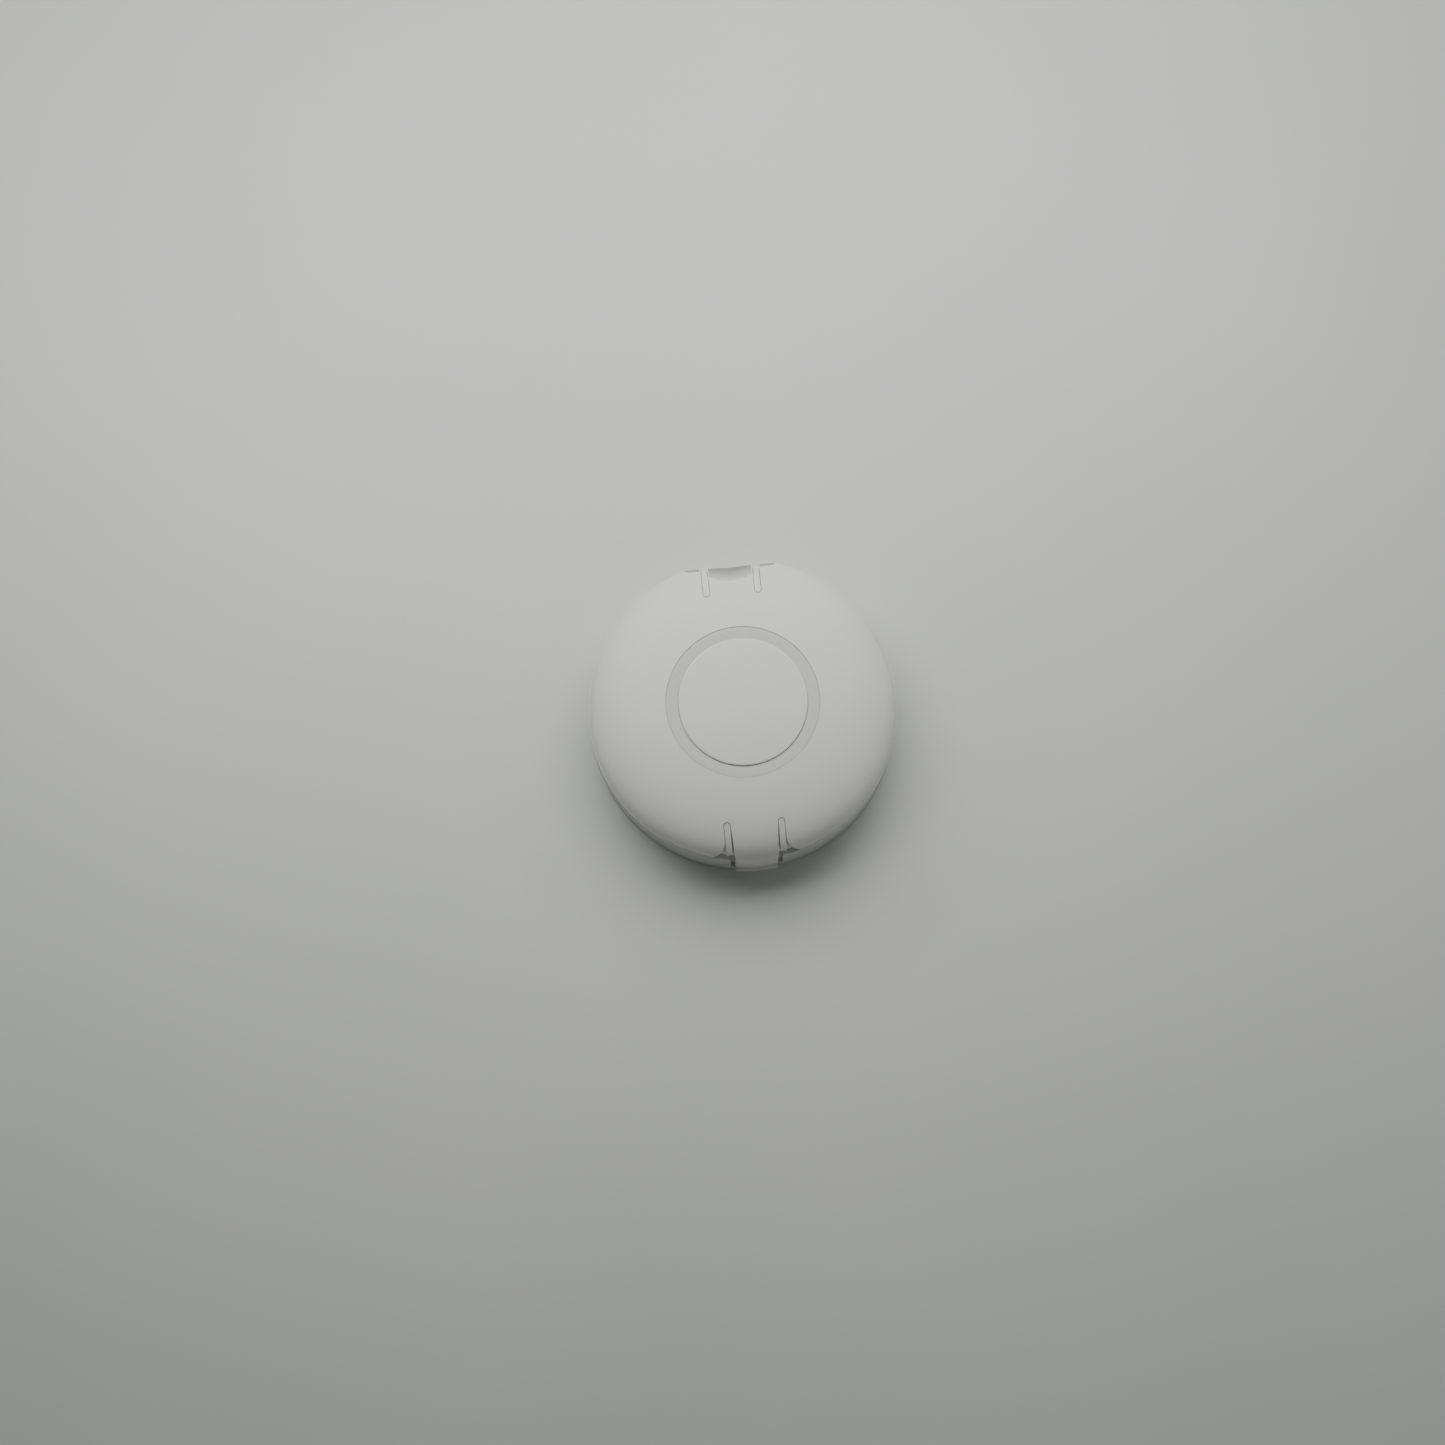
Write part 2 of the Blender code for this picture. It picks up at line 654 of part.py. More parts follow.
def make_mounting_plate():
    profile = [(0.0, PLATE_TOP), (PLATE_RADIUS, PLATE_TOP), (PLATE_RADIUS, PLATE_BOTTOM), (0.0, PLATE_BOTTOM)]
    plate = turned("mounting_plate", profile, INNER_PLASTIC)
    for degrees in STUD_ANGLES:
        place = polar(STUD_CIRCLE, degrees)
        stem_low = (*place, PLATE_BOTTOM + 0.0004)
        stem_high = (*place, FLOOR_TOP + 0.0008)
        stem = cylinder(f"stud_stem_{degrees}", STUD_RADIUS, stem_low, stem_high, segments=16)
        head_low = (*place, FLOOR_TOP + GAP)
        head_high = (*place, FLOOR_TOP + 0.0013)
        head = cylinder(f"stud_head_{degrees}", STUD_HEAD_RADIUS, head_low, head_high, segments=20)
        join(plate, stem, head)
    cut(plate, box("plate_opening", (-0.0135, 0.0065, -0.001), (0.0135, 0.0375, 0.003)))
    for i, (x, y) in enumerate(((0.028, -0.016), (-0.028, -0.016), (0.0, -0.030))):
        cut(plate, cylinder(f"plate_screw_hole_{i}", 0.0022, (x, y, -0.001), (x, y, 0.003), segments=16))
    x, y = RESET_AT
    cut(plate, cylinder("plate_reset_hole", 0.0035, (x, y, -0.001), (x, y, 0.003), segments=16))
    return plate


def make_hinge_pin():
    half = EAR_OUTER_X + GAP
    return cylinder("hinge_pin", PIN_RADIUS, (-half, HINGE_Y, HINGE_Z), (half, HINGE_Y, HINGE_Z), STEEL, 12)


# ---------------------------------------------------------------- board and what it carries


def make_main_board():
    profile = [(0.0, BOARD_TOP), (BOARD_RADIUS, BOARD_TOP), (BOARD_RADIUS, BOARD_BOTTOM), (0.0, BOARD_BOTTOM)]
    board = turned("main_board", profile, BOARD_MASK)
    notch = BAY_HALF + BAY_WALL + 0.0004
    cut(board, box("board_notch", (-notch, BAY_FRONT - BAY_WALL - 0.0004, 0.005), (notch, 0.06, 0.015)))
    cut(board, box("board_rear", (-0.06, HINGE_Y - 0.0045, 0.005), (0.06, 0.06, 0.015)))
    for i, (x, y) in enumerate(BOARD_SCREWS):
        cut(board, cylinder(f"board_hole_{i}", 0.0014, (x, y, 0.005), (x, y, 0.015), segments=12))
    return board


def make_jack():
    shell_low = (-JACK_HALF, JACK_REAR, JACK_BOTTOM)
    shell_high = (JACK_HALF, JACK_MOUTH, JACK_TOP)
    shell = box("jack_shell", shell_low, shell_high, TINPLATE)
    room_low = (-JACK_HALF + JACK_WALL, JACK_REAR + JACK_WALL, JACK_BOTTOM + JACK_WALL)
    room_high = (JACK_HALF - JACK_WALL, JACK_MOUTH + 0.002, JACK_TOP - JACK_WALL)
    cut(shell, box("jack_room", room_low, room_high))

    inset = JACK_WALL + GAP
    insert_low = (-JACK_HALF + inset, JACK_REAR + inset, JACK_BOTTOM + inset)
    insert_high = (JACK_HALF - inset, JACK_MOUTH - GAP, JACK_TOP - inset)
    insert = box("jack_insert", insert_low, insert_high, BLACK_PLASTIC)
    socket_low = (-0.0059, JACK_REAR + 0.005, JACK_BOTTOM + 0.0036)
    socket_high = (0.0059, JACK_MOUTH + 0.002, JACK_BOTTOM + 0.0106)
    cut(insert, box("socket", socket_low, socket_high))
    tab_low = (-0.0030, JACK_REAR + 0.008, JACK_BOTTOM + 0.0020)
    tab_high = (0.0030, JACK_MOUTH + 0.002, JACK_BOTTOM + 0.0040)
    cut(insert, box("socket_tab", tab_low, tab_high))


def block(name, x, y, width, depth, height, finish, bottom=ON_BOARD):
    """A rectangular component standing at x, y."""
    low = (x - width / 2, y - depth / 2, bottom)
    high = (x + width / 2, y + depth / 2, bottom + height)
    return box(name, low, high, finish)


def make_board_parts():
    block("processor", 0.0, -0.0172, 0.0130, 0.0130, 0.0016, CHIP)
    block("memory_chip", -0.0045, -0.0385, 0.0080, 0.0090, 0.0012, CHIP)
    block("flash_chip", 0.0060, -0.0385, 0.0060, 0.0080, 0.0012, CHIP)
    for name, side in (("shield_can_left", -1), ("shield_can_right", 1)):
        block(name, side * 0.0200, -0.0180, 0.0200, 0.0200, 0.0028, TINPLATE)
    block("lan_transformer", 0.0250, 0.0130, 0.0130, 0.0130, 0.0060, BLACK_PLASTIC)
    block("power_inductor_front", -0.0230, 0.0130, 0.0075, 0.0075, 0.0040, CHIP)
    block("power_inductor_rear", -0.0230, 0.0240, 0.0075, 0.0075, 0.0040, CHIP)
    for name, x, y in (("capacitor_1", 0.0200, 0.0270), ("capacitor_2", 0.0290, 0.0270), ("capacitor_3", 0.0240, 0.0370)):
        cylinder(name, 0.0040, (x, y, ON_BOARD), (x, y, ON_BOARD + 0.0100), ALUMINIUM, 24)
    for i, degrees in enumerate(GUIDE_LEG_ANGLES):
        x, y = polar(GUIDE_RADIUS, degrees)
        block(f"status_led_{i + 1}", x, y, 0.0024, 0.0024, 0.0010, LIGHT_GUIDE)
    for i, (x, y) in enumerate(BOARD_SCREWS):
        make_screw(f"board_screw_{i + 1}", x, y, ON_BOARD, 0.0048)


def make_heat_path():
    block("thermal_pad", 0.0, -0.0172, 0.0160, 0.0160, 0.0013, PAD_RUBBER, 0.0074)
    spreader = block("heat_spreader", 0.0, -0.0155, 0.0480, 0.0360, 0.0011, ALUMINIUM, 0.0060)
    return spreader


def make_reset():
    """The push button in the floor and the switch under the board that it works."""
    x, y = RESET_AT
    block("reset_switch", x, y, 0.0050, 0.0050, 0.0015, BLACK_PLASTIC, BOARD_BOTTOM - GAP - 0.0015)
    button = cylinder("reset_button", 0.0015, (x, y, 0.0026), (x, y, 0.0066), INNER_PLASTIC, 20)
    flange = cylinder("reset_flange", 0.0024, (x, y, FLOOR_TOP + GAP), (x, y, FLOOR_TOP + 0.0011), segments=20)
    join(button, flange)



def make_antenna(name, degrees):
    """A stamped antenna: an upright plate with its top folded inwards and a slit in its side."""
    half_width = 0.0070
    sheet = 0.0003
    height = 0.0090
    plate = box(f"antenna_{name}", (-sheet, -half_width, ON_BOARD), (sheet, half_width, ON_BOARD + height), BRASS)
    fold_low = (-0.0055, -half_width, ON_BOARD + height - 2 * sheet)
    fold_high = (0.0, half_width, ON_BOARD + height - 0.0001)
    fold = box(f"antenna_fold_{name}", fold_low, fold_high)
    slit_low = (-0.0020, -0.0040, ON_BOARD + 0.0030)
    slit_high = (0.0020, 0.0080, ON_BOARD + 0.0042)
    slit = box(f"antenna_slit_{name}", slit_low, slit_high)
    join(plate, fold)
    cut(plate, slit)
    outward = Matrix.Rotation(math.radians(degrees), 4, "Z")
    turned_to = Matrix.Translation(polar(ANTENNA_CIRCLE, degrees, 0.0)) @ outward
    for piece in (plate, fold, slit):
        piece.matrix_world = turned_to @ Matrix.Translation(piece.location)


def make_lead(name, degrees, side):
    """The coaxial socket on the board, and the lead that rises over it and runs out to the antenna's foot."""
    socket_height = 0.0012
    lead_radius = 0.00055
    socket_turn = 17
    foot_turn = 2
    foot_circle = ANTENNA_CIRCLE - 0.0012
    x, y = polar(SOCKET_CIRCLE, degrees + side * socket_turn)
    top = ON_BOARD + socket_height
    cylinder(f"coax_socket_{name}", 0.0012, (x, y, ON_BOARD), (x, y, top), BRASS, 16)
    points = []
    steps = 8
    for i in range(steps + 1):
        part = i / steps
        radius = SOCKET_CIRCLE + (foot_circle - SOCKET_CIRCLE) * part
        angle = degrees + side * (socket_turn + (foot_turn - socket_turn) * part)
        points.append(polar(radius, angle, top + lead_radius + GAP))
    tube(f"antenna_lead_{name}", points, lead_radius, LEAD_JACKET)


def make_antennas():
    for name, degrees, side in ANTENNAS:
        make_antenna(name, degrees)
        make_lead(name, degrees, side)


make_cover()
make_tongue()
make_slot_shields()
make_center_disc()
make_light_ring()
make_screw("disc_screw", 0.0, 0.0, SHELF_BOTTOM - GAP, 0.0358)
make_base()
make_mounting_plate()
make_hinge_pin()
make_main_board()
make_jack()
make_board_parts()
make_heat_path()
make_reset()
make_antennas()
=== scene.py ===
"""Looks for the compact ceiling access point: fine shells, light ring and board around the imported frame."""

import json
import math

import bmesh
import bpy
import numpy as np
from mathutils import Matrix, Vector
from mathutils.geometry import delaunay_2d_cdt
from mathutils.kdtree import KDTree


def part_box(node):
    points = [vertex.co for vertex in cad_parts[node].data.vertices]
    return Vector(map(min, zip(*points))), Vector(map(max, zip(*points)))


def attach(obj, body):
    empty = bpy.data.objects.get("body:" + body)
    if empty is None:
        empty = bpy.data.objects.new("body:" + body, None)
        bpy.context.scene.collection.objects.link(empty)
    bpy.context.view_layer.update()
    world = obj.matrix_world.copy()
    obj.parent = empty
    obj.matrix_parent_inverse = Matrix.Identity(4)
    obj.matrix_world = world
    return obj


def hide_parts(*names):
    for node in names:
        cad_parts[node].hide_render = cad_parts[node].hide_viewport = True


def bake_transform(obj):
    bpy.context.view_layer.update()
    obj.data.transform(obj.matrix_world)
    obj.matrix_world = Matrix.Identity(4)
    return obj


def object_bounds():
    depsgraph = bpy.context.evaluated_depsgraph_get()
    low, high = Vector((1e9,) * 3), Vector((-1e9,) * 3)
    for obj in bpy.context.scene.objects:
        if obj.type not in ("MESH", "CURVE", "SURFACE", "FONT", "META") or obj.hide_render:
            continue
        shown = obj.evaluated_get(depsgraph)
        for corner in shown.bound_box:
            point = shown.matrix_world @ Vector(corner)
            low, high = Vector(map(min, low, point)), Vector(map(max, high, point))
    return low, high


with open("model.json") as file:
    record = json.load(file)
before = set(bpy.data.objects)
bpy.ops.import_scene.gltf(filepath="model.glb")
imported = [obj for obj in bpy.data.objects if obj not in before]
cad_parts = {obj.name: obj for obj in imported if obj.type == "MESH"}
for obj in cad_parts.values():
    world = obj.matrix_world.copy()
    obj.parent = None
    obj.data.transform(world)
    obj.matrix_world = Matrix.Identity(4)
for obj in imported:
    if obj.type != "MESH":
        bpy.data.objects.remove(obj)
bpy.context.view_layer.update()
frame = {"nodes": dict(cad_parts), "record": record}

# ---------------------------------------------------------------- sizes, in metres

COVER_RADIUS = 0.0600
SEAM_Z = 0.0205
DOME_RISE = 0.0170
DOME_POWER = 2.3
COVER_WALL = 0.0020
TOP_Z = SEAM_Z + DOME_RISE

RING_OUTER = 0.0298
RING_INNER = 0.0250
RING_RECESS = 0.0002
RIM_CHAMFER = 0.00045
RIM_SLOPE = 27.0
SHELF_TOP = 0.0340
SHELF_BOTTOM = 0.0326
GUIDE_RADIUS = 0.0274
GUIDE_LEG_ANGLES = (0, 180, 270)
PILLAR_RADIUS = 0.0014
PILLAR_FOOT_Z = 0.0125

CHORD_Y = 0.0573
SCOOP_RADIUS = 0.0300
SCOOP_TOP = (0.0494, 0.0314)
CHORD_BEVEL_FOOT = 0.0008
CHORD_BEVEL_SLOPE = 2.6
LEAF_HALF_WIDTH = 0.00875
REAR_SLOT_X = 0.0101
REAR_SLOT_END = 0.0433

SLOT_WIDTH = 0.0027
TONGUE_ROOT_Y = 0.0460
TONGUE_TIP_HALF = 0.00835
FRONT_SLOT_X = 0.0106
SKIRT_CORNER = 0.0044
TONGUE_BOTTOM = 0.0076
TONGUE_INNER = 0.0585
LIP_REACH = 0.0616
EDGE_ROUND = 0.00035

WELD = 0.00001
OUTLINE_SPACING = 0.00045
SURFACE_SPACING = 0.00105
RING_STEPS = 320
SHELF_INNER = 0.0200
SCREW_HOLE_RIM = 0.0080

CAMERA_ELEVATION = 78.5
CAMERA_TURN = 5.3
CAMERA_DISTANCE = 1.753
CAMERA_LENS = 112.1
# How far the middle of the view lies from the seam's centre, to the left and towards the viewer.
VIEW_OFFSET = (-0.0079, -0.0049)


# ---------------------------------------------------------------- small helpers


def link(name, mesh):
    made = bpy.data.objects.new(name, mesh)
    bpy.context.scene.collection.objects.link(made)
    return made


def mesh_object(name, points, faces):
    mesh = bpy.data.meshes.new(name)
    mesh.from_pydata([tuple(p) for p in points], [], [tuple(f) for f in faces])
    mesh.update()
    return link(name, mesh)


def shaded(made, sharp):
    """Smooth shading, except across edges sharper than this angle."""
    made.data.shade_smooth()
    made.data.set_sharp_from_angle(angle=math.radians(sharp))
    return made


def from_bmesh(name, bm):
    """A new object from a bmesh, which is used up."""
    mesh = bpy.data.meshes.new(name)
    bm.to_mesh(mesh)
    bm.free()
    return link(name, mesh)


def tidy_mesh(made, weld=WELD, sharp=32):
    """Weld and clean a mesh, turn its faces outward and shade it."""
    bm = bmesh.new()
    bm.from_mesh(made.data)
    bmesh.ops.remove_doubles(bm, verts=bm.verts, dist=weld)
    bmesh.ops.dissolve_degenerate(bm, edges=bm.edges, dist=weld)
    bmesh.ops.recalc_face_normals(bm, faces=bm.faces)
    bm.to_mesh(made.data)
    bm.free()
    return shaded(made, sharp)


def arc(centre, radius, start, end, steps):
    """Points of an arc in a plane, angles in degrees."""
    angles = np.radians(np.linspace(start, end, steps + 1))
    return [(centre[0] + radius * math.cos(a), centre[1] + radius * math.sin(a)) for a in angles]


def polar(radius, degrees, height=None):
    angle = math.radians(degrees)
    place = (radius * math.cos(angle), radius * math.sin(angle))
    return place if height is None else (*place, height)


def turned(name, profile, steps=256, closed=False, sharp=32):
    """Turn (radius, height) points about Z into a mesh."""
    points = []
    rows = []
    for radius, height in profile:
        if radius < 1e-7:
            rows.append([len(points)] * steps)
            points.append((0.0, 0.0, height))
            continue
        row = []
        for i in range(steps):
            angle = 2 * math.pi * i / steps
            row.append(len(points))
            points.append((radius * math.cos(angle), radius * math.sin(angle), height))
        rows.append(row)
    faces = []
    pairs = list(zip(rows, rows[1:]))
    if closed:
        pairs.append((rows[-1], rows[0]))
    for upper, lower in pairs:
        for i in range(steps):
            j = (i + 1) % steps
            face = []
            for corner in (upper[i], lower[i], lower[j], upper[j]):
                if corner not in face:
                    face.append(corner)
            if len(face) > 2:
                faces.append(face)
    return tidy_mesh(mesh_object(name, points, faces), sharp=sharp)


def box_mesh(name, low, high, bevel=0.0, segments=2):
    low = Vector(low)
    high = Vector(high)
    bm = bmesh.new()
    bmesh.ops.create_cube(bm, size=1.0)
    bmesh.ops.scale(bm, vec=high - low, verts=bm.verts)
    bmesh.ops.translate(bm, vec=(high + low) / 2, verts=bm.verts)
    if bevel:
        bmesh.ops.bevel(bm, geom=bm.edges[:], offset=bevel, segments=segments, affect="EDGES", profile=0.5)
    return shaded(from_bmesh(name, bm), 40)


def cylinder_mesh(name, radius, start, end, bevel=0.0, segments=48):
    start = Vector(start)
    end = Vector(end)
    along = end - start
    bm = bmesh.new()
    bmesh.ops.create_cone(
        bm, cap_ends=True, segments=segments, radius1=radius, radius2=radius, depth=along.length
    )
    if bevel:
        rims = [e for e in bm.edges if abs(e.verts[0].co.z - e.verts[1].co.z) < 1e-7]
        bmesh.ops.bevel(bm, geom=rims, offset=bevel, segments=3, affect="EDGES", profile=0.5)
    turn = along.to_track_quat("Z", "Y").to_matrix().to_4x4()
    bm.transform(Matrix.Translation((start + end) / 2) @ turn)
    return shaded(from_bmesh(name, bm), 40)


def boolean(made, other, operation="DIFFERENCE"):
    """Apply a Boolean and remove the other object, which must not overlap itself or nothing is left."""
    modifier = made.modifiers.new("boolean", "BOOLEAN")
    modifier.operation = operation
    modifier.object = other
    modifier.solver = "EXACT"
    bpy.context.view_layer.update()
    evaluated = made.evaluated_get(bpy.context.evaluated_depsgraph_get())
    mesh = bpy.data.meshes.new_from_object(evaluated)
    made.modifiers.clear()
    made.data = mesh
    bpy.data.objects.remove(other, do_unlink=True)


def finish_piece(made, body, material, slot, *nodes):
    """Give a piece its material unless it has some, and its body; hide the CAD nodes it replaces. The slot
    argument is not used.
    """
    if not made.data.materials:
        made.data.materials.append(material)
    if body:
        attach(made, body)
    if nodes:
        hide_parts(*nodes)
    return made


# ---------------------------------------------------------------- materials


class Nodes:
    """A short way to write a material's node tree."""

    def __init__(self, name):
        self.material = bpy.data.materials.new(name)
        self.material.use_nodes = True
        self.tree = self.material.node_tree
        self.shader = self.tree.nodes["Principled BSDF"]
        self.coordinates = self.tree.nodes.new("ShaderNodeTexCoord")

    def add(self, kind, **settings):
        node = self.tree.nodes.new(kind)
        for name, value in settings.items():
            if name in node.inputs:
                node.inputs[name].default_value = value
            else:
                setattr(node, name, value)
        return node

    def join(self, source, target):
        self.tree.links.new(source, target)

    def noise(self, scale, detail=3.0, roughness=0.5, stretch=None):
        node = self.add("ShaderNodeTexNoise")
        node.inputs["Scale"].default_value = scale
        node.inputs["Detail"].default_value = detail
        node.inputs["Roughness"].default_value = roughness
        if stretch:
            mapping = self.add("ShaderNodeMapping")
            mapping.inputs["Scale"].default_value = stretch
            self.join(self.coordinates.outputs["Object"], mapping.inputs["Vector"])
            self.join(mapping.outputs["Vector"], node.inputs["Vector"])
        else:
            self.join(self.coordinates.outputs["Object"], node.inputs["Vector"])
        return node.outputs["Fac"]

    def ramp(self, source, stops):
        node = self.add("ShaderNodeValToRGB")
        elements = node.color_ramp.elements
        while len(elements) < len(stops):
            elements.new(0.5)
        for element, (place, colour) in zip(elements, stops):
            element.position = place
            element.color = (*colour, 1.0) if isinstance(colour, tuple) else (colour, colour, colour, 1.0)
        self.join(source, node.inputs["Fac"])
        return node.outputs["Color"]

    def range(self, source, low, high):
        node = self.add("ShaderNodeMapRange")
        node.inputs["To Min"].default_value = low
        node.inputs["To Max"].default_value = high
        self.join(source, node.inputs["Value"])
        return node.outputs["Result"]

    def bump(self, source, distance, strength=1.0, under=None):
        node = self.add("ShaderNodeBump")
        node.inputs["Distance"].default_value = distance
        node.inputs["Strength"].default_value = strength
        self.join(source, node.inputs["Height"])
        if under is not None:
            self.join(under, node.inputs["Normal"])
        return node.outputs["Normal"]

    def set(self, name, value):
        self.shader.inputs[name].default_value = value


def moulded_plastic(name, colour, roughness, grain=3200.0, depth=0.000012, spread=0.012):
    """Moulded plastic: a fine spark-eroded grain, slow flow marks and a slightly uneven gloss."""
    nodes = Nodes(name)
    flow = nodes.noise(28.0, 2.0)
    low = tuple(c * (1 - spread) for c in colour)
    high = tuple(min(1.0, c * (1 + spread)) for c in colour)
    nodes.join(nodes.ramp(flow, ((0.3, low), (0.7, high))), nodes.shader.inputs["Base Color"])
    gloss = nodes.noise(160.0, 4.0)
    nodes.join(nodes.range(gloss, roughness - 0.05, roughness + 0.06), nodes.shader.inputs["Roughness"])
    fine = nodes.noise(grain, 2.0)
    wavy = nodes.bump(nodes.noise(90.0, 2.0), 0.00004, 0.35)
    nodes.join(nodes.bump(fine, depth, 0.5, wavy), nodes.shader.inputs["Normal"])
    return nodes


def shell_material():
    nodes = moulded_plastic("white_shell_plastic", (0.80, 0.80, 0.79), 0.42)
    nodes.set("Specular IOR Level", 0.45)
    return nodes.material


def light_guide_material():
    """Frosted light guide, unlit: greyer and duller than the shell."""
    nodes = moulded_plastic("frosted_light_guide", (0.66, 0.66, 0.65), 0.60, grain=5200.0, depth=0.00001)
    return nodes.material


def rim_painted_highlight_material():
    """The disc's cut rim: the same plastic, polished, and painted a little lighter than the shell as a
    painted highlight.
    """
    nodes = moulded_plastic("polished_rim_plastic_painted_highlight", (0.86, 0.86, 0.85), 0.2, grain=900.0, depth=0.000002)
    return nodes.material


def base_material():
    """The tray's plastic: a shade greyer than the shell, with a coarser grain."""
    return moulded_plastic("tray_plastic", (0.60, 0.605, 0.60), 0.5, grain=2600.0).material


def scoop_painted_shade_material():
    """The finger scoop: coarse spark-eroded plastic, greyer than the shell, with painted shade that is
    deepest at the foot.
    """
    nodes = moulded_plastic("scoop_plastic_painted_shade", (0.5, 0.5, 0.49), 0.62, grain=1900.0, depth=0.00003)
    place = nodes.add("ShaderNodeSeparateXYZ")
    nodes.join(nodes.coordinates.outputs["Object"], place.inputs[0])
    rise = nodes.add("ShaderNodeMapRange")
    rise.inputs["From Min"].default_value = SEAM_Z + 0.002
    rise.inputs["From Max"].default_value = SCOOP_TOP[1] + 0.0005
    nodes.join(place.outputs["Z"], rise.inputs["Value"])
    # Painted shade: the colour darkens as the height falls, darkest at the chord.
    shade = nodes.ramp(rise.outputs["Result"], ((0.0, (0.29, 0.29, 0.285)), (1.0, (0.68, 0.68, 0.67))))
    nodes.join(shade, nodes.shader.inputs["Base Color"])
    return nodes.material


def metal_material(name, colour, roughness, along=(1.0, 1.0, 1.0), grain=1800.0):
    """Sheet or turned metal with drawn streaks and light smudges."""
    nodes = Nodes(name)
    streak = nodes.noise(grain, 4.0, 0.6, along)
    smudge = nodes.noise(120.0, 3.0)
    dark = tuple(c * 0.86 for c in colour)
    nodes.join(nodes.ramp(smudge, ((0.3, dark), (0.7, colour))), nodes.shader.inputs["Base Color"])
    nodes.join(nodes.range(streak, roughness - 0.08, roughness + 0.1), nodes.shader.inputs["Roughness"])
    nodes.join(nodes.bump(streak, 0.00001, 0.4), nodes.shader.inputs["Normal"])
    nodes.set("Metallic", 1.0)
    return nodes.material


SHELL = shell_material()
GUIDE = light_guide_material()
RIM_PAINTED_HIGHLIGHT = rim_painted_highlight_material()
BASE_SHELL = base_material()
SCOOP_PAINTED_SHADE = scoop_painted_shade_material()


# ---------------------------------------------------------------- the dome as a surface


PROFILE_ANGLES = np.linspace(math.pi / 2, 0.0, 3001)
PROFILE_R = COVER_RADIUS * np.maximum(np.cos(PROFILE_ANGLES), 0.0) ** (2 / DOME_POWER)
PROFILE_Z = SEAM_Z + DOME_RISE * np.maximum(np.sin(PROFILE_ANGLES), 0.0) ** (2 / DOME_POWER)
PROFILE_S = np.concatenate([[0.0], np.cumsum(np.hypot(np.diff(PROFILE_R), np.diff(PROFILE_Z)))])
SEAM_S = PROFILE_S[-1]
# The skirt's edge is a fine bead: the wall just above it is drawn in a little.
BEAD_PLACES = SEAM_S - np.array([0.0080, 0.0050, 0.0026, 0.0016, 0.00115, 0.00100, 0.00080, 0.0])
BEAD_DEPTHS = np.array([0.0, 0.00008, 0.00030, 0.00042, 0.00046, 0.00040, 0.0, 0.0])
BEAD_R = PROFILE_R - np.interp(PROFILE_S, BEAD_PLACES, BEAD_DEPTHS)

LEAN = Vector((0.0, SCOOP_TOP[0] - CHORD_Y, SCOOP_TOP[1] - SEAM_Z)).normalized()
OUTWARD = Vector((0.0, LEAN.z, -LEAN.y))


def dome_z(radius):
    return float(np.interp(radius, PROFILE_R, PROFILE_Z))


def distance_at(radius):
    """Distance along the dome's profile from its top to a radius."""
    return float(np.interp(radius, PROFILE_R, PROFILE_S))


def profile_point(s):
    """Radius and height at a distance along the dome's profile."""
    return np.array([np.interp(s, PROFILE_S, PROFILE_R), np.interp(s, PROFILE_S, PROFILE_Z)])


def scoop_z(x, y):
    """Height of the scoop over a point in plan: a leaning cylinder, and a steep bevel along the chord."""
    sink = SCOOP_RADIUS - math.sqrt(max(SCOOP_RADIUS**2 - x * x, 0.0))
    hollow = SEAM_Z + (sink - (y - CHORD_Y) * OUTWARD.y) / OUTWARD.z
    bevel = SEAM_Z + CHORD_BEVEL_FOOT + (CHORD_Y - y) * CHORD_BEVEL_SLOPE
    return min(hollow, bevel)


class Rear:
    """For one direction in plan: where the dome ends at the scoop, and the way on down to the seam."""

    def __init__(self, angle):
        self.angle = angle
        sine = math.sin(angle)
        half_chord = math.sqrt(COVER_RADIUS**2 - CHORD_Y**2)
        self.cut = sine > 0.9 and abs(CHORD_Y / sine * math.cos(angle)) < half_chord
        if not self.cut:
            return
        self.flat_r = CHORD_Y / sine
        reach = np.linspace(0.040, self.flat_r, 400)
        above = [scoop_z(r * math.cos(angle), r * sine) - dome_z(r) for r in reach]
        inside = [r for r, gap in zip(reach, above) if gap < 0]
        self.crease_r = inside[0] if inside else self.flat_r
        self.crease_s = distance_at(self.crease_r)
        self.flat_top = min(scoop_z(self.flat_r * math.cos(angle), CHORD_Y), dome_z(self.flat_r))
        drop = self.flat_top - SEAM_Z
        slope = math.hypot(self.flat_r - self.crease_r, dome_z(self.crease_r) - self.flat_top)
        self.slope_share = slope / (slope + drop) if slope + drop > 1e-9 else 0.0

    def place(self, s):
        """Radius and height at a distance along the profile, past the crease."""
        part = min(max((s - self.crease_s) / (SEAM_S - self.crease_s), 0.0), 1.0)
        if part < self.slope_share:
            radius = self.crease_r + (self.flat_r - self.crease_r) * part / self.slope_share
            height = scoop_z(radius * math.cos(self.angle), radius * math.sin(self.angle))
            return radius, min(height, dome_z(radius))
        left = (part - self.slope_share) / max(1 - self.slope_share, 1e-9)
        return self.flat_r, self.flat_top + (SEAM_Z - self.flat_top) * left


def rolled(x, y):
    """From the flat layout (distance along the profile, direction) to the cover's outer surface."""
    s = math.hypot(x, y)
    angle = math.atan2(y, x)
    rear = Rear(angle)
    if rear.cut and s > rear.crease_s:
        radius, height = rear.place(s)
    else:
        radius = float(np.interp(s, PROFILE_S, BEAD_R))
        height = float(np.interp(s, PROFILE_S, PROFILE_Z))
    return (radius * math.cos(angle), radius * math.sin(angle), height)


def unrolled(x, y):
    """From a point in plan to the flat layout."""
    radius = math.hypot(x, y)
    angle = math.atan2(y, x)
    rear = Rear(angle)
    if rear.cut and radius > rear.crease_r and rear.slope_share > 0:
        part = min((radius - rear.crease_r) / (rear.flat_r - rear.crease_r), 1.0) * rear.slope_share
        s = rear.crease_s + part * (SEAM_S - rear.crease_s)
    else:
        s = distance_at(min(radius, COVER_RADIUS))
    return (s * math.cos(angle), s * math.sin(angle))


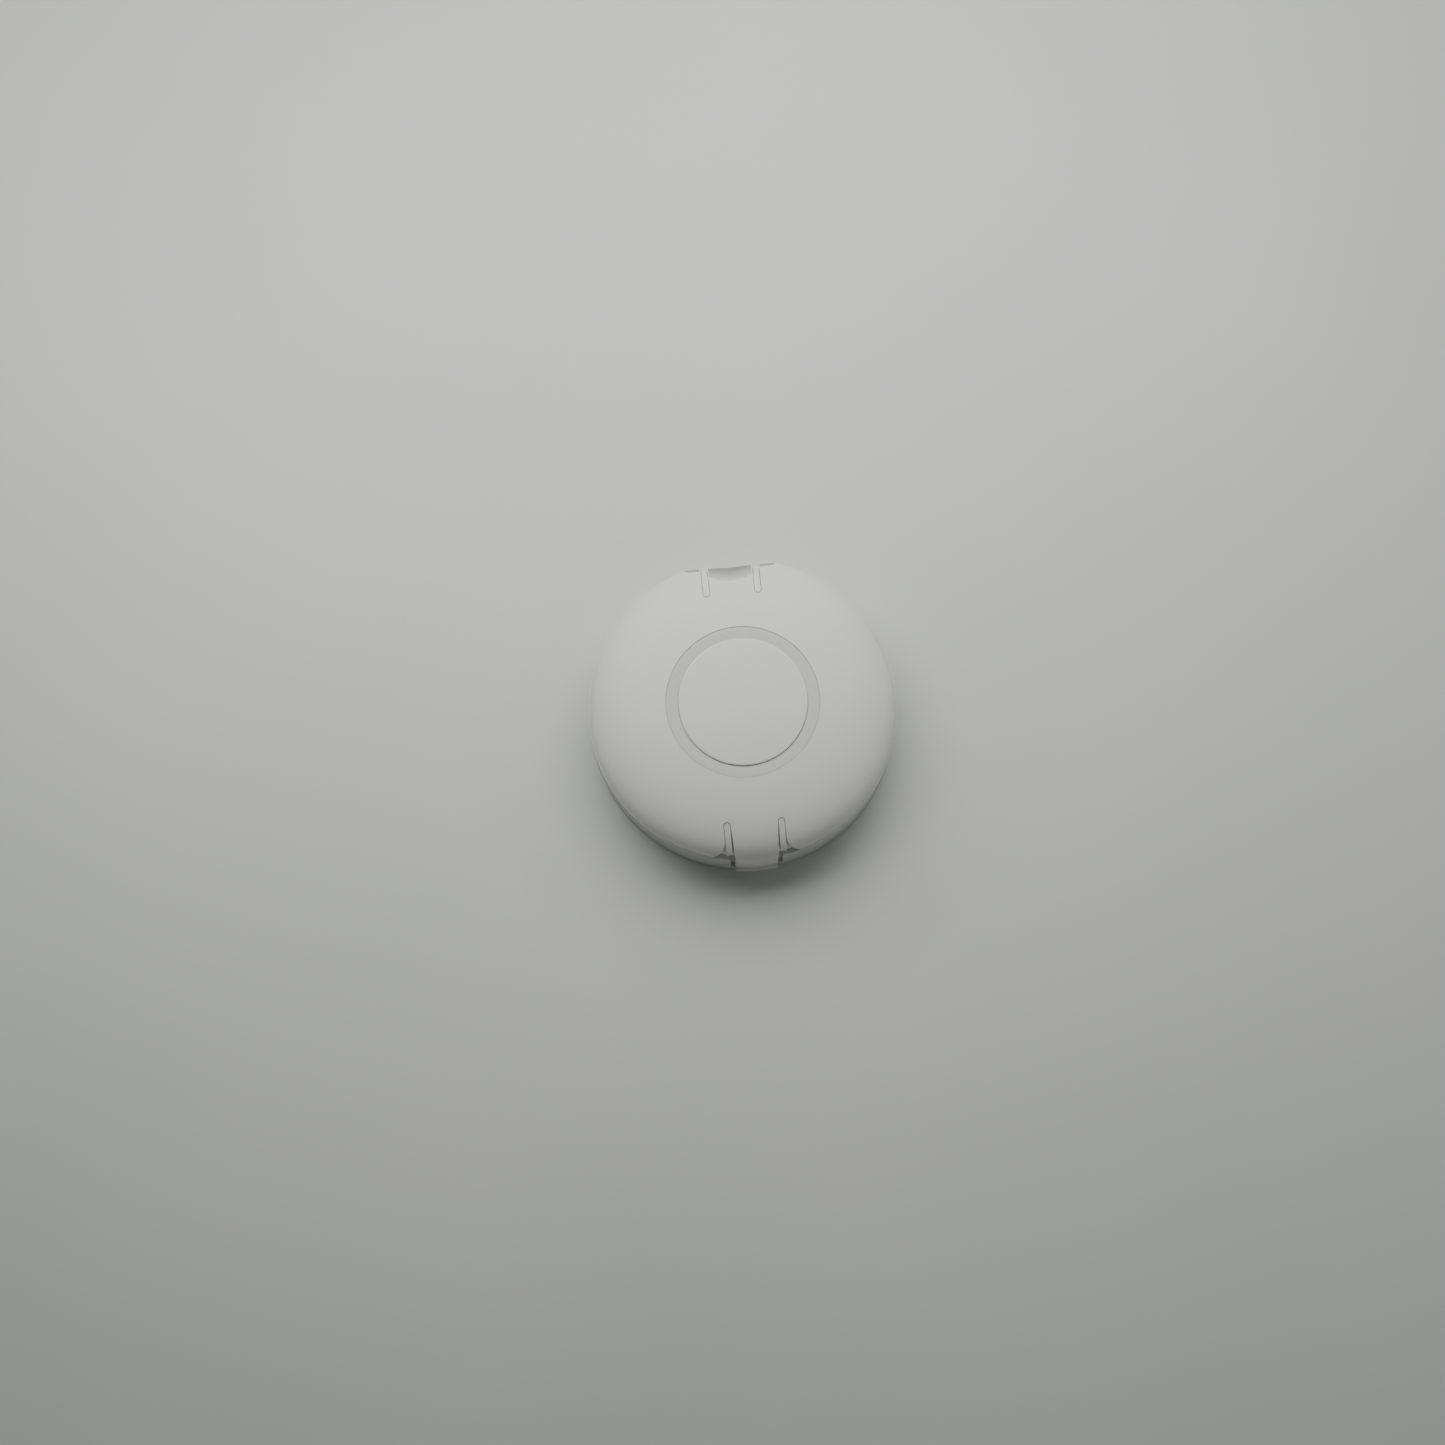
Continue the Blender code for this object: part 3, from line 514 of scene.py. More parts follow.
def even(points, spacing):
    """The same open line with points at an even spacing."""
    points = np.array(points)
    lengths = np.concatenate([[0.0], np.cumsum(np.hypot(*np.diff(points, axis=0).T))])
    count = max(int(round(lengths[-1] / spacing)), 1)
    places = np.linspace(0.0, lengths[-1], count + 1)
    return np.column_stack([np.interp(places, lengths, points[:, k]) for k in (0, 1)])


def front_slot_side():
    """Plan of the cover's edge at +X of the tongue, from the skirt's corner to the tongue's root."""
    inner = FRONT_SLOT_X - SLOT_WIDTH / 2
    outer = FRONT_SLOT_X + SLOT_WIDTH / 2
    root_y = -TONGUE_ROOT_Y - SLOT_WIDTH / 2
    corner_x = outer + SKIRT_CORNER
    corner_y = -math.sqrt((COVER_RADIUS - SKIRT_CORNER) ** 2 - corner_x**2)
    towards_edge = math.degrees(math.atan2(corner_y, corner_x))
    line = arc((corner_x, corner_y), SKIRT_CORNER, 360 + towards_edge, 180, 16)
    line += arc((FRONT_SLOT_X, root_y), SLOT_WIDTH / 2, 0, 180, 14)
    return line, math.hypot(inner, root_y)


def rear_slot_side():
    """Plan of the slot at +X of the hinge leaf, from the skirt round the slot's end to the leaf."""
    outer = REAR_SLOT_X + SLOT_WIDTH / 2
    inner = REAR_SLOT_X - SLOT_WIDTH / 2
    end_y = REAR_SLOT_END + SLOT_WIDTH / 2
    line = [(outer, CHORD_Y), (outer, end_y)]
    line += arc((REAR_SLOT_X, end_y), SLOT_WIDTH / 2, 0, -180, 14)
    line.append((inner, CHORD_Y))
    return line


def to_layout(line, spacing):
    return np.array([unrolled(x, y) for x, y in even(line, spacing)])


def to_seam(point):
    """The point of the seam in the same direction in the layout."""
    return np.array(point) * (SEAM_S / math.hypot(*point))


def seam_run(start, end, spacing):
    """The seam from one layout point to another, anticlockwise."""
    a = math.atan2(start[1], start[0])
    b = math.atan2(end[1], end[0])
    while b < a:
        b += 2 * math.pi
    count = max(int(SEAM_S * (b - a) / spacing), 1)
    angles = np.linspace(a, b, count + 1)
    return np.column_stack([SEAM_S * np.cos(angles), SEAM_S * np.sin(angles)])


def cover_outline(spacing):
    """The cover's outer edge in the layout, anticlockwise, and which of its points are the tongue's root."""
    front, root_r = front_slot_side()
    front = to_layout(front, spacing)
    rear = to_layout(rear_slot_side(), spacing)
    mirror = np.array([-1.0, 1.0])
    root_s = distance_at(root_r)
    half = math.atan2(FRONT_SLOT_X - SLOT_WIDTH / 2, TONGUE_ROOT_Y + SLOT_WIDTH / 2)
    angles = np.linspace(-math.pi / 2 - half, -math.pi / 2 + half, int(2 * half * root_s / spacing) + 1)
    root = np.column_stack([root_s * np.cos(angles), root_s * np.sin(angles)])
    rear_right_start = to_seam(rear[0])
    rear_right_end = to_seam(rear[-1])
    rear_left_start = rear_right_end * mirror
    rear_left_end = rear_right_start * mirror
    rear_right = np.vstack([rear_right_start, rear, rear_right_end])
    rear_left = (rear_right * mirror)[::-1]
    pieces = [
        (root, True),
        (front[::-1], False),
        (seam_run(front[0], rear_right_start, spacing * 1.6), False),
        (rear_right, False),
        (seam_run(rear_right_end, rear_left_start, spacing * 1.6), False),
        (rear_left, False),
        (seam_run(rear_left_end, front[0] * mirror, spacing * 1.6), False),
        (front * mirror, False),
    ]
    points = []
    at_root = []
    for piece, is_root in pieces:
        for point in piece:
            if points and math.hypot(*(point - points[-1])) < 0.00003:
                continue
            points.append(point)
            at_root.append(is_root)
    if math.hypot(*(points[0] - points[-1])) < 0.00003:
        points.pop()
        at_root.pop()
    return np.array(points), np.array(at_root)


def edge_normals(points, at_root):
    """Unit directions into the material at each outline point, square to the edges there."""
    ahead = np.roll(points, -1, axis=0) - points
    lengths = np.hypot(*ahead.T)
    side = np.column_stack([-ahead[:, 1], ahead[:, 0]]) / lengths[:, None]
    free = ~(at_root & np.roll(at_root, -1))
    normals = np.zeros_like(points)
    for i in range(len(points)):
        before = side[i - 1] if free[i - 1] else None
        after = side[i] if free[i] else None
        if before is None and after is None:
            continue
        if before is None or after is None:
            normals[i] = after if before is None else before
            continue
        both = before + after
        normals[i] = both / max(both @ both / 2, 0.6)
    return normals


def lathe_rows(bm, inner_ring, profile, flip):
    """Continue a ring of vertices through (radius, height) rows to the axis or an open end."""
    rows = [inner_ring]
    for radius, height in profile:
        row = []
        for vertex in inner_ring:
            across = Vector((vertex.co.x, vertex.co.y)).normalized() * radius
            row.append(bm.verts.new((across.x, across.y, height)))
        rows.append(row)
    for upper, lower in zip(rows, rows[1:]):
        for i in range(len(upper)):
            j = (i + 1) % len(upper)
            corners = [upper[i], upper[j], lower[j], lower[i]]
            bm.faces.new(corners[::-1] if flip else corners)
    last = rows[-1]
    bm.faces.new(last if flip else last[::-1])


def inner_points(taken, hole_s, spacing):
    """Rings of points across the layout, clear of the points already taken."""
    tree = KDTree(len(taken))
    for i, (x, y) in enumerate(taken):
        tree.insert((x, y, 0.0), i)
    tree.balance()
    points = []
    ring = 0
    s = hole_s + spacing
    while s < BEAD_PLACES[2] - spacing * 0.5:
        count = int(2 * math.pi * s / spacing)
        for i in range(count):
            angle = 2 * math.pi * (i + 0.5 * (ring % 2)) / count
            point = (s * math.cos(angle), s * math.sin(angle))
            if tree.find((*point, 0.0))[2] > spacing * 0.6:
                points.append(point)
        ring += 1
        s += spacing * 0.9
    for back in BEAD_PLACES[2:-1]:
        count = int(2 * math.pi * back / (spacing * 0.55))
        for i in range(count):
            angle = 2 * math.pi * i / count
            point = (back * math.cos(angle), back * math.sin(angle))
            if tree.find((*point, 0.0))[2] > spacing * 0.09:
                points.append(point)
    return points


def make_cover():
    """The dome with its groove, slots, scoop and skirt as one closed skin with rounded edges."""
    outline, at_root = cover_outline(OUTLINE_SPACING)
    normals = edge_normals(outline, at_root)
    count = len(outline)
    steps = 5
    turns = np.radians(np.linspace(90, 0, steps + 1))
    rows = [(EDGE_ROUND * (1 - math.cos(t)), EDGE_ROUND * (1 - math.sin(t))) for t in turns]
    # Each row is (distance in from the edge, depth below the surface), from the face to the wall.
    face_line = outline + normals * rows[0][0]
    hole_r = RING_OUTER + EDGE_ROUND
    hole_s = distance_at(hole_r)
    hole_count = RING_STEPS
    around = np.linspace(0, 2 * math.pi, hole_count + 1)[:-1]
    hole = [(hole_s * math.cos(a), hole_s * math.sin(a)) for a in around]
    crease = crease_line()
    taken = [*map(tuple, face_line), *hole, *(p for part in crease for p in part)]
    inner = inner_points(taken, hole_s, SURFACE_SPACING)
    points = [*map(tuple, face_line), *hole]
    edges = [(i, (i + 1) % count) for i in range(count)]
    edges += [(count + i, count + (i + 1) % hole_count) for i in range(hole_count)]
    for part in crease:
        first = len(points)
        points += part
        edges += [(first + i, first + i + 1) for i in range(len(part) - 1)]
    points += inner
    flat, _, faces, _, _, _ = delaunay_2d_cdt([Vector(p) for p in points], edges, [], 0, 1e-7)
    faces = [f for f in faces if in_cover(np.mean([flat[i] for i in f], axis=0), face_line, hole_s)]

    bm = bmesh.new()
    surface = [Vector(rolled(p.x, p.y)) for p in flat]
    outer = [bm.verts.new(p) for p in surface]
    outer_faces = [bm.faces.new([outer[i] for i in face]) for face in faces]
    for face, corners in zip(outer_faces, faces):
        middle = np.mean([flat[i] for i in corners], axis=0)
        rear = Rear(math.atan2(middle[1], middle[0]))
        if rear.cut and math.hypot(*middle) > rear.crease_s:
            # Faces past the crease take the scoop material, which carries painted shade.
            face.material_index = 1
    bm.normal_update()
    down = [v.normal.copy() for v in outer]
    if sum(f.normal.z for f in outer_faces) < 0:
        bmesh.ops.reverse_faces(bm, faces=outer_faces)
        bm.normal_update()
        down = [v.normal.copy() for v in outer]
    used = {i for face in faces for i in face}
    under = {}
    for i in used:
        place = surface[i] - down[i] * COVER_WALL
        under[i] = bm.verts.new((place.x, place.y, min(place.z, SHELF_BOTTOM)))
    index_of = {v: i for i, v in enumerate(outer)}
    for face in outer_faces:
        bm.faces.new([under[index_of[v]] for v in reversed(face.verts)])

    # The rounded edge and the wall below it.
    previous = outer[:count]
    for inset, depth in rows[1:]:
        line = []
        for i in range(count):
            place = outline[i] + normals[i] * inset
            line.append(bm.verts.new(Vector(rolled(*place)) - down[i] * depth))
        stitch(bm, previous, line)
        previous = line
    low = [under[i] for i in range(count)]
    stitch(bm, previous, low)

    # The groove for the light ring, the shelf under it and the ceiling of the shell.
    rim = outer[count : count + hole_count]
    top = dome_z(RING_OUTER)
    groove = [
        (RING_OUTER + EDGE_ROUND * (1 - math.sin(t)), top - EDGE_ROUND * (1 - math.cos(t)))
        for t in turns[::-1]
    ]
    groove = groove[1:] + [(RING_OUTER, SHELF_TOP + EDGE_ROUND), (RING_OUTER - EDGE_ROUND, SHELF_TOP)]
    groove += [(SHELF_INNER, SHELF_TOP), (SCREW_HOLE_RIM, SHELF_TOP)]
    lathe_rows(bm, rim, groove, flip=True)
    lathe_rows(bm, [under[i] for i in range(count, count + hole_count)], [(0.0200, SHELF_BOTTOM)], flip=False)
    for vertex in [v for v in bm.verts if not v.link_faces]:
        bm.verts.remove(vertex)
    bmesh.ops.recalc_face_normals(bm, faces=bm.faces)
    return shaded(from_bmesh("dome_shell", bm), 38)


def stitch(bm, upper, lower):
    count = len(upper)
    for i in range(count):
        j = (i + 1) % count
        bm.faces.new([upper[i], lower[i], lower[j], upper[j]])


def crease_line():
    """Layout lines along the edge between the dome and the scoop, broken at the slots."""
    half = math.sqrt(COVER_RADIUS**2 - CHORD_Y**2)
    limit = math.atan2(CHORD_Y, half)
    edge = []
    for angle in np.linspace(limit + 0.002, math.pi - limit - 0.002, 90):
        rear = Rear(angle)
        if not rear.cut or rear.flat_r - rear.crease_r < 0.00005:
            continue
        if under_slot(angle, rear.crease_r):
            continue
        edge.append((rear.crease_s * math.cos(angle), rear.crease_s * math.sin(angle)))
    return split_far(edge, 0.002)


def under_slot(angle, radius):
    x = abs(radius * math.cos(angle))
    y = radius * math.sin(angle)
    return abs(x - REAR_SLOT_X) < SLOT_WIDTH / 2 + 2 * EDGE_ROUND and y > REAR_SLOT_END - EDGE_ROUND


def split_far(line, limit):
    parts = []
    for point in line:
        if not parts or math.hypot(point[0] - parts[-1][-1][0], point[1] - parts[-1][-1][1]) > limit:
            parts.append([point])
        else:
            parts[-1].append(point)
    return [part for part in parts if len(part) > 1]


def in_cover(point, face_line, hole_s):
    """Whether a layout point is on the cover: inside the outline and outside the ring's hole."""
    if math.hypot(*point) < hole_s:
        return False
    x, y = point[0], point[1]
    x1, y1 = face_line[:, 0], face_line[:, 1]
    x2, y2 = np.roll(x1, -1), np.roll(y1, -1)
    crosses = (y1 > y) != (y2 > y)
    at = x1[crosses] + (y - y1[crosses]) * (x2[crosses] - x1[crosses]) / (y2[crosses] - y1[crosses])
    return int((at > x).sum()) % 2 == 1


SHELL_PIECE = make_cover()
SHELL_PIECE.data.materials.append(SHELL)
# The second material, for the scoop, carries painted shade.
SHELL_PIECE.data.materials.append(SCOOP_PAINTED_SHADE)
finish_piece(SHELL_PIECE, "cover", SHELL, "shell_white", "dome_cover")


def section_point(s, inset, step=0.00002):
    """Radius and height a little way below the dome's surface, at a distance along its profile."""
    at = profile_point(s)
    ahead = profile_point(s - step)
    along = (at - ahead) / np.hypot(*(at - ahead))
    return at + np.array([along[1], -along[0]]) * inset


def tongue_path():
    """The tongue's section from its root to the lip and back inside: radius, height and half-width."""
    root_r = math.hypot(FRONT_SLOT_X - SLOT_WIDTH / 2, TONGUE_ROOT_Y + SLOT_WIDTH / 2)
    root_s = distance_at(root_r)
    outer = []
    for s in np.linspace(root_s, SEAM_S, 44):
        outer.append(tuple(map(float, profile_point(s))))
    outer += [(COVER_RADIUS, z) for z in np.linspace(SEAM_Z, TONGUE_BOTTOM + 0.0024, 8)[1:]]
    fillet = (COVER_RADIUS + 0.0009, TONGUE_BOTTOM + 0.0020)
    outer += arc(fillet, 0.0009, 190, 270, 7)
    outer += arc((LIP_REACH - 0.0004, TONGUE_BOTTOM + 0.0007), 0.0004, 90, -90, 10)
    outer += arc((TONGUE_INNER + 0.0003, TONGUE_BOTTOM + 0.0006), 0.0003, 270, 180, 4)
    inner = [(TONGUE_INNER, z) for z in np.linspace(TONGUE_BOTTOM + 0.002, SEAM_Z - 0.002, 8)]
    for s in np.linspace(SEAM_S, root_s, 40):
        inner.append(tuple(section_point(s, COVER_WALL, 1e-5)))
    root_half = FRONT_SLOT_X - SLOT_WIDTH / 2
    seam_drop = root_r - COVER_RADIUS
    path = []
    for radius, height in outer + inner:
        along = min(max((root_r - radius) / seam_drop, 0.0), 1.0) if height > SEAM_Z - 0.001 else 1.0
        path.append((radius, height, root_half + (TONGUE_TIP_HALF - root_half) * along))
    return path


def make_tongue():
    """The snap tongue as one skin that starts flush with the shell at its root."""
    path = tongue_path()
    section = np.array([p[:2] for p in path])
    ahead = np.roll(section, -1, axis=0) - section
    behind = section - np.roll(section, 1, axis=0)
    ahead[-1] = behind[-1]
    behind[0] = ahead[0]
    along = ahead / np.hypot(*ahead.T)[:, None] + behind / np.hypot(*behind.T)[:, None]
    along /= np.hypot(*along.T)[:, None]
    inward = np.column_stack([along[:, 1], -along[:, 0]])
    # Columns across the tongue: distance from its side and how far the skin is drawn in there.
    turns = np.radians(np.linspace(0, 90, 6))
    rounding = [(EDGE_ROUND * (1 - math.cos(t)), EDGE_ROUND * (1 - math.sin(t))) for t in turns]
    columns = [(-1, *r) for r in rounding]
    columns += [(0, u, 0.0) for u in np.linspace(-1, 1, 33)[1:-1]]
    columns += [(1, *r) for r in rounding[::-1]]
    bm = bmesh.new()
    rows = []
    for side, place, drawn in columns:
        row = []
        for i, (radius, height, half) in enumerate(path):
            x = side * (half - place) if side else place * (half - EDGE_ROUND)
            drop = inward[i] * drawn
            at = (radius + drop[0], height + drop[1])
            row.append(bm.verts.new((x, -math.sqrt(at[0] ** 2 - x * x), at[1])))
        rows.append(row)
    for left, right in zip(rows, rows[1:]):
        for i in range(len(path)):
            j = (i + 1) % len(path)
            bm.faces.new([left[i], left[j], right[j], right[i]])
    caps = [bm.faces.new(rows[0][::-1]), bm.faces.new(rows[-1])]
    bmesh.ops.triangulate(bm, faces=caps)
    bmesh.ops.recalc_face_normals(bm, faces=bm.faces)
    return shaded(from_bmesh("latch_tongue_skin", bm), 38)


TONGUE_PIECE = make_tongue()
TONGUE_PIECE.data.materials.append(SHELL)
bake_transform(TONGUE_PIECE)
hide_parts("latch_tongue")


def make_disc():
    """The middle disc, with its chamfered rim, whose lighter colour is a painted highlight."""
    rim_top = RING_INNER - RIM_CHAMFER
    profile = [(0.0, TOP_Z)]
    profile += [(r, dome_z(r)) for r in np.linspace(0.001, rim_top, 30)]
    top = dome_z(rim_top)
    foot = top - RIM_CHAMFER * math.tan(math.radians(RIM_SLOPE))
    profile += [(RING_INNER, foot)]
    profile += [(RING_INNER, SHELF_TOP + 0.0005), (RING_INNER - 0.0002, SHELF_TOP + 0.0003)]
    profile += [(0.0, SHELF_TOP + 0.0003)]
    disc = turned("middle_disc", profile, steps=RING_STEPS, sharp=18)
    disc.data.materials.append(SHELL)
    disc.data.materials.append(RIM_PAINTED_HIGHLIGHT)
    # The chamfer's faces take the polished rim material, painted lighter as a painted highlight.
    for face in disc.data.polygons:
        middle = math.hypot(face.center.x, face.center.y)
        if middle > rim_top and face.center.z > foot:
            face.material_index = 1
    return disc


def make_ring():
    """The frosted light ring, level and just below the shell."""
    gap = 0.00007
    soft = 0.00018
    inner = RING_INNER + gap
    outer = RING_OUTER - gap
    top = dome_z(RING_OUTER) - RING_RECESS
    bottom = SHELF_TOP + 0.0003
    profile = arc((outer - soft, top - soft), soft, 90, 0, 4)
    profile += [(outer, bottom), (inner, bottom)]
    profile += arc((inner + soft, top - soft), soft, 180, 90, 4)
    profile += [((inner + outer) / 2, top)]
    return turned("frosted_ring", profile, steps=RING_STEPS, closed=True, sharp=60)


finish_piece(make_disc(), "cover", SHELL, "shell_white", "center_disc")
finish_piece(make_ring(), "cover", GUIDE, "light_guide", "light_ring")
for leg, degrees in enumerate(GUIDE_LEG_ANGLES):
    pillar_foot = polar(GUIDE_RADIUS, degrees, PILLAR_FOOT_Z)
    pillar_top = polar(GUIDE_RADIUS, degrees, SHELF_TOP)
    pillar = cylinder_mesh(f"light_pillar_{leg}", PILLAR_RADIUS, pillar_foot, pillar_top, 0.0002)
    finish_piece(pillar, "cover", GUIDE, "light_guide")


# ---------------------------------------------------------------- cover: hinge, ribs and inside


HINGE_Y = 0.0557
HINGE_Z = 0.0176
KNUCKLE_RADIUS = 0.0016
PIN_RADIUS = 0.0006
PIN_PLAY = 0.0001
PIN_BORE_HALF = 0.02
RELIEF_HALF = 0.0186
EAR_OUTER_X = 0.0145
HINGE_RELIEF = 0.0037
GAP = 0.0003
RIB_INSET = 0.00035
RIB_HALF = SLOT_WIDTH / 2 - 0.00013
SHIELD_INSET = COVER_WALL + GAP
SHIELD_WALL = 0.0008
SHIELD_HALF = 0.0165
SHIELD_LOW = 0.0210
REAR_SHIELD_EDGE = 0.0485
FRONT_RIB_END = -0.0580
REAR_RIB_END = 0.0571


def surface_frame(x, y):
    """The cover's outer surface over a place in plan, and the direction out of it."""
    at = Vector(rolled(*unrolled(x, y)))
    step = 0.00005
    ahead = Vector(rolled(*unrolled(x, y - step)))
    aside = Vector(rolled(*unrolled(x - step, y)))
    out = (at - aside).cross(at - ahead).normalized()
    return at, out if out.z > 0 else -out


def loft(name, rows, sharp=35):
    """A closed skin through rings of points, with flat ends."""
    count = len(rows[0])
    points = [p for row in rows for p in row]
    faces = []
    for k in range(len(rows) - 1):
        for i in range(count):
            j = (i + 1) % count
            faces.append((k * count + i, k * count + j, (k + 1) * count + j, (k + 1) * count + i))
    faces.append(tuple(range(count))[::-1])
    faces.append(tuple((len(rows) - 1) * count + i for i in range(count)))
    return tidy_mesh(mesh_object(name, points, faces), sharp=sharp)


def make_slot_rib(name, middle_x, start_y, end_y, round_start):
    """A rib that stands in a slot and keeps light and dust out, with soft upper edges."""
    steps = 40
    rows = []
    soft = 0.00025
    for k in range(steps + 1):
        y = start_y + (end_y - start_y) * k / steps
        half = RIB_HALF
        from_end = abs(y - start_y)
        if round_start and from_end < RIB_HALF:
            half = max(math.sqrt(RIB_HALF**2 - (RIB_HALF - from_end) ** 2), 0.0001)
        across = [-half, -half + soft * 0.3, -half + soft, 0.0, half - soft, half - soft * 0.3, half]
        sunk = [soft, soft * 0.3, 0.0, 0.0, 0.0, soft * 0.3, soft]
        ring = []
        for offset, drop in zip(across, sunk):
            at, out = surface_frame(middle_x + offset, y)
            ring.append(at - out * (RIB_INSET + drop))
        for offset in (half, -half):
            at, out = surface_frame(middle_x + offset, y)
            ring.append(at - out * (SHIELD_INSET + SHIELD_WALL / 2))
        rows.append(ring)
    return loft(name, rows)


def make_shield_plate(name, side, first_r, last_s, half):
    """A thin shaped plate close under the shell, from one radius out to a distance along the profile."""
    first_s = distance_at(first_r)
    rows = []
    for s in np.linspace(first_s, last_s, 24):
        rings = []
        for inset in (SHIELD_INSET, SHIELD_INSET + SHIELD_WALL):
            radius, height = section_point(s, inset)
            xs = np.linspace(-half, half, 41)
            rings.append([(x, side * math.sqrt(radius**2 - x * x), height) for x in xs])
        rows.append(rings[0] + rings[1][::-1])
    return loft(name, rows)


def make_slot_fillings():
    low_s = float(np.interp(-SHIELD_LOW, -PROFILE_Z, PROFILE_S))
    front = make_shield_plate("front_slot_backing", -1, 0.0450, low_s, SHIELD_HALF)
    finish_piece(front, "cover", SHELL, "shell_white", "front_slot_shield")
    rear_s = distance_at(REAR_SHIELD_EDGE)
    rear = make_shield_plate("rear_slot_backing", 1, 0.0430, rear_s, 0.0135)
    finish_piece(rear, "cover", SHELL, "shell_white", "rear_slot_shield")
    front_start = -TONGUE_ROOT_Y + GAP
    rear_start = REAR_SLOT_END + GAP
    for side, label in ((-1, "left"), (1, "right")):
        rib = make_slot_rib(f"front_rib_{label}", side * FRONT_SLOT_X, front_start, FRONT_RIB_END, True)
        finish_piece(rib, "cover", SHELL, "shell_white")
        rib = make_slot_rib(f"rear_rib_{label}", side * REAR_SLOT_X, rear_start, REAR_RIB_END, True)
        finish_piece(rib, "cover", SHELL, "shell_white")


def hinge_cylinder(name, radius, half_length, bevel, segments):
    """A cylinder on the hinge's axis."""
    ends = (-half_length, HINGE_Y, HINGE_Z), (half_length, HINGE_Y, HINGE_Z)
    return cylinder_mesh(name, radius, *ends, bevel, segments)


def make_cover_hinge():
    """The knuckle and the web that carries it, under the rear edge of the shell."""
    web = box_mesh(
        "cover_hinge_web",
        (-LEAF_HALF_WIDTH, HINGE_Y - 0.0014, HINGE_Z),
        (LEAF_HALF_WIDTH, CHORD_Y - 0.0001, SEAM_Z - 0.0001),
        bevel=0.0002,
    )
    boolean(web, hinge_cylinder("knuckle_blank", KNUCKLE_RADIUS, LEAF_HALF_WIDTH, 0.0002, 64), "UNION")
    boolean(web, hinge_cylinder("knuckle_bore", PIN_RADIUS + PIN_PLAY, PIN_BORE_HALF, 0.0, 32))
    finish_piece(tidy_mesh(web, sharp=35), "cover", SHELL, "shell_white")


make_slot_fillings()
make_cover_hinge()


# ---------------------------------------------------------------- base tray and mounting plate


BASE_RADIUS = 0.0595
BASE_TOP = SEAM_Z - GAP
WALL_INNER = 0.0566
LIP_OUTER = 0.0575
LIP_HEIGHT = 0.0015
FLOOR_BOTTOM = 0.0021
FLOOR_TOP = 0.0039
PLATE_RECESS_RADIUS = 0.0472
LATCH_RECESS_RADIUS = 0.0579
LATCH_RECESS_HALF = 0.0099
LATCH_RECESS_BOTTOM = 0.0065
BAY_HALF = 0.0125
BAY_FRONT = 0.0095
BAY_REAR = 0.0360
BAY_ROOF = 0.0250
BAY_WALL = 0.0015
BOARD_BOTTOM = 0.0090
BOARD_TOP = 0.0104
ON_BOARD = BOARD_TOP + GAP
JACK_HALF = 0.0080
JACK_TOP = ON_BOARD + 0.0135
RESET_AT = (-0.029, 0.004)
RESET_HOLE_RADIUS = 0.0018
PLATE_RESET_HOLE_RADIUS = 0.0035
PLATE_SCREW_HOLE_RADIUS = 0.0022
PLATE_SCREWS = ((0.028, -0.016), (-0.028, -0.016), (0.0, -0.030))
POST_RADIUS = 0.0030
POST_BORE_RADIUS = 0.0011
SLOT_ENTRY_RADIUS = 0.0030
BOARD_USED_RADIUS = 0.0485
BOARD_USED_REAR = 0.0455
SCREW_CLEARANCE = 0.0048
PILLAR_CLEARANCE = 0.0028
CEILING_RIB_INNER = 0.0395
CEILING_RIB_OUTER = 0.0535
BOARD_SCREWS = ((0.036, 0.028), (-0.036, 0.028), (-0.036, -0.028), (0.036, -0.028))
PLATE_RADIUS = 0.0455
PLATE_TOP = FLOOR_BOTTOM - GAP
STUD_CIRCLE = 0.0380
STUD_ANGLES = (40, 160, 280)
STUD_RADIUS = 0.0013
STUD_HEAD_RADIUS = 0.0025
TWIST_TRAVEL = 20


def upright(name, radius, x, y, bottom, top, bevel, segments):
    """An upright cylinder."""
    return cylinder_mesh(name, radius, (x, y, bottom), (x, y, top), bevel, segments)


def prism(name, outline, bottom, top):
    """An upright solid over a plan outline."""
    bm = bmesh.new()
    ring = [bm.verts.new((x, y, bottom)) for x, y in outline]
    face = bm.faces.new(ring)
    grown = bmesh.ops.extrude_face_region(bm, geom=[face])["geom"]
    raised = [part for part in grown if isinstance(part, bmesh.types.BMVert)]
    bmesh.ops.translate(bm, vec=(0, 0, top - bottom), verts=raised)
    bmesh.ops.recalc_face_normals(bm, faces=bm.faces)
    return from_bmesh(name, bm)


def base_profile():
    soft = 0.0004
    foot = 0.0006
    profile = [(0.0, FLOOR_TOP), (0.020, FLOOR_TOP), (0.040, FLOOR_TOP), (WALL_INNER - 0.0012, FLOOR_TOP)]
    profile += arc((WALL_INNER - 0.0012, FLOOR_TOP + 0.0012), 0.0012, 270, 360, 5)[1:]
    profile += [(WALL_INNER, BASE_TOP + LIP_HEIGHT - 0.0002), (WALL_INNER + 0.0002, BASE_TOP + LIP_HEIGHT)]
    profile += [(LIP_OUTER - 0.0003, BASE_TOP + LIP_HEIGHT), (LIP_OUTER, BASE_TOP + LIP_HEIGHT - 0.0004)]
    profile += [(LIP_OUTER, BASE_TOP)]
    profile += arc((BASE_RADIUS - soft, BASE_TOP - soft), soft, 90, 0, 5)
    profile += [(BASE_RADIUS, z) for z in (0.0150, 0.0100, 0.0050)]
    profile += [(BASE_RADIUS, foot + 0.0003)]
    profile += arc((BASE_RADIUS - foot, foot), foot, 0, -90, 5)
    profile += [(PLATE_RECESS_RADIUS + 0.0003, 0.0), (PLATE_RECESS_RADIUS, 0.0003)]
    profile += [(PLATE_RECESS_RADIUS, FLOOR_BOTTOM), (0.020, FLOOR_BOTTOM), (0.0, FLOOR_BOTTOM)]
    return profile


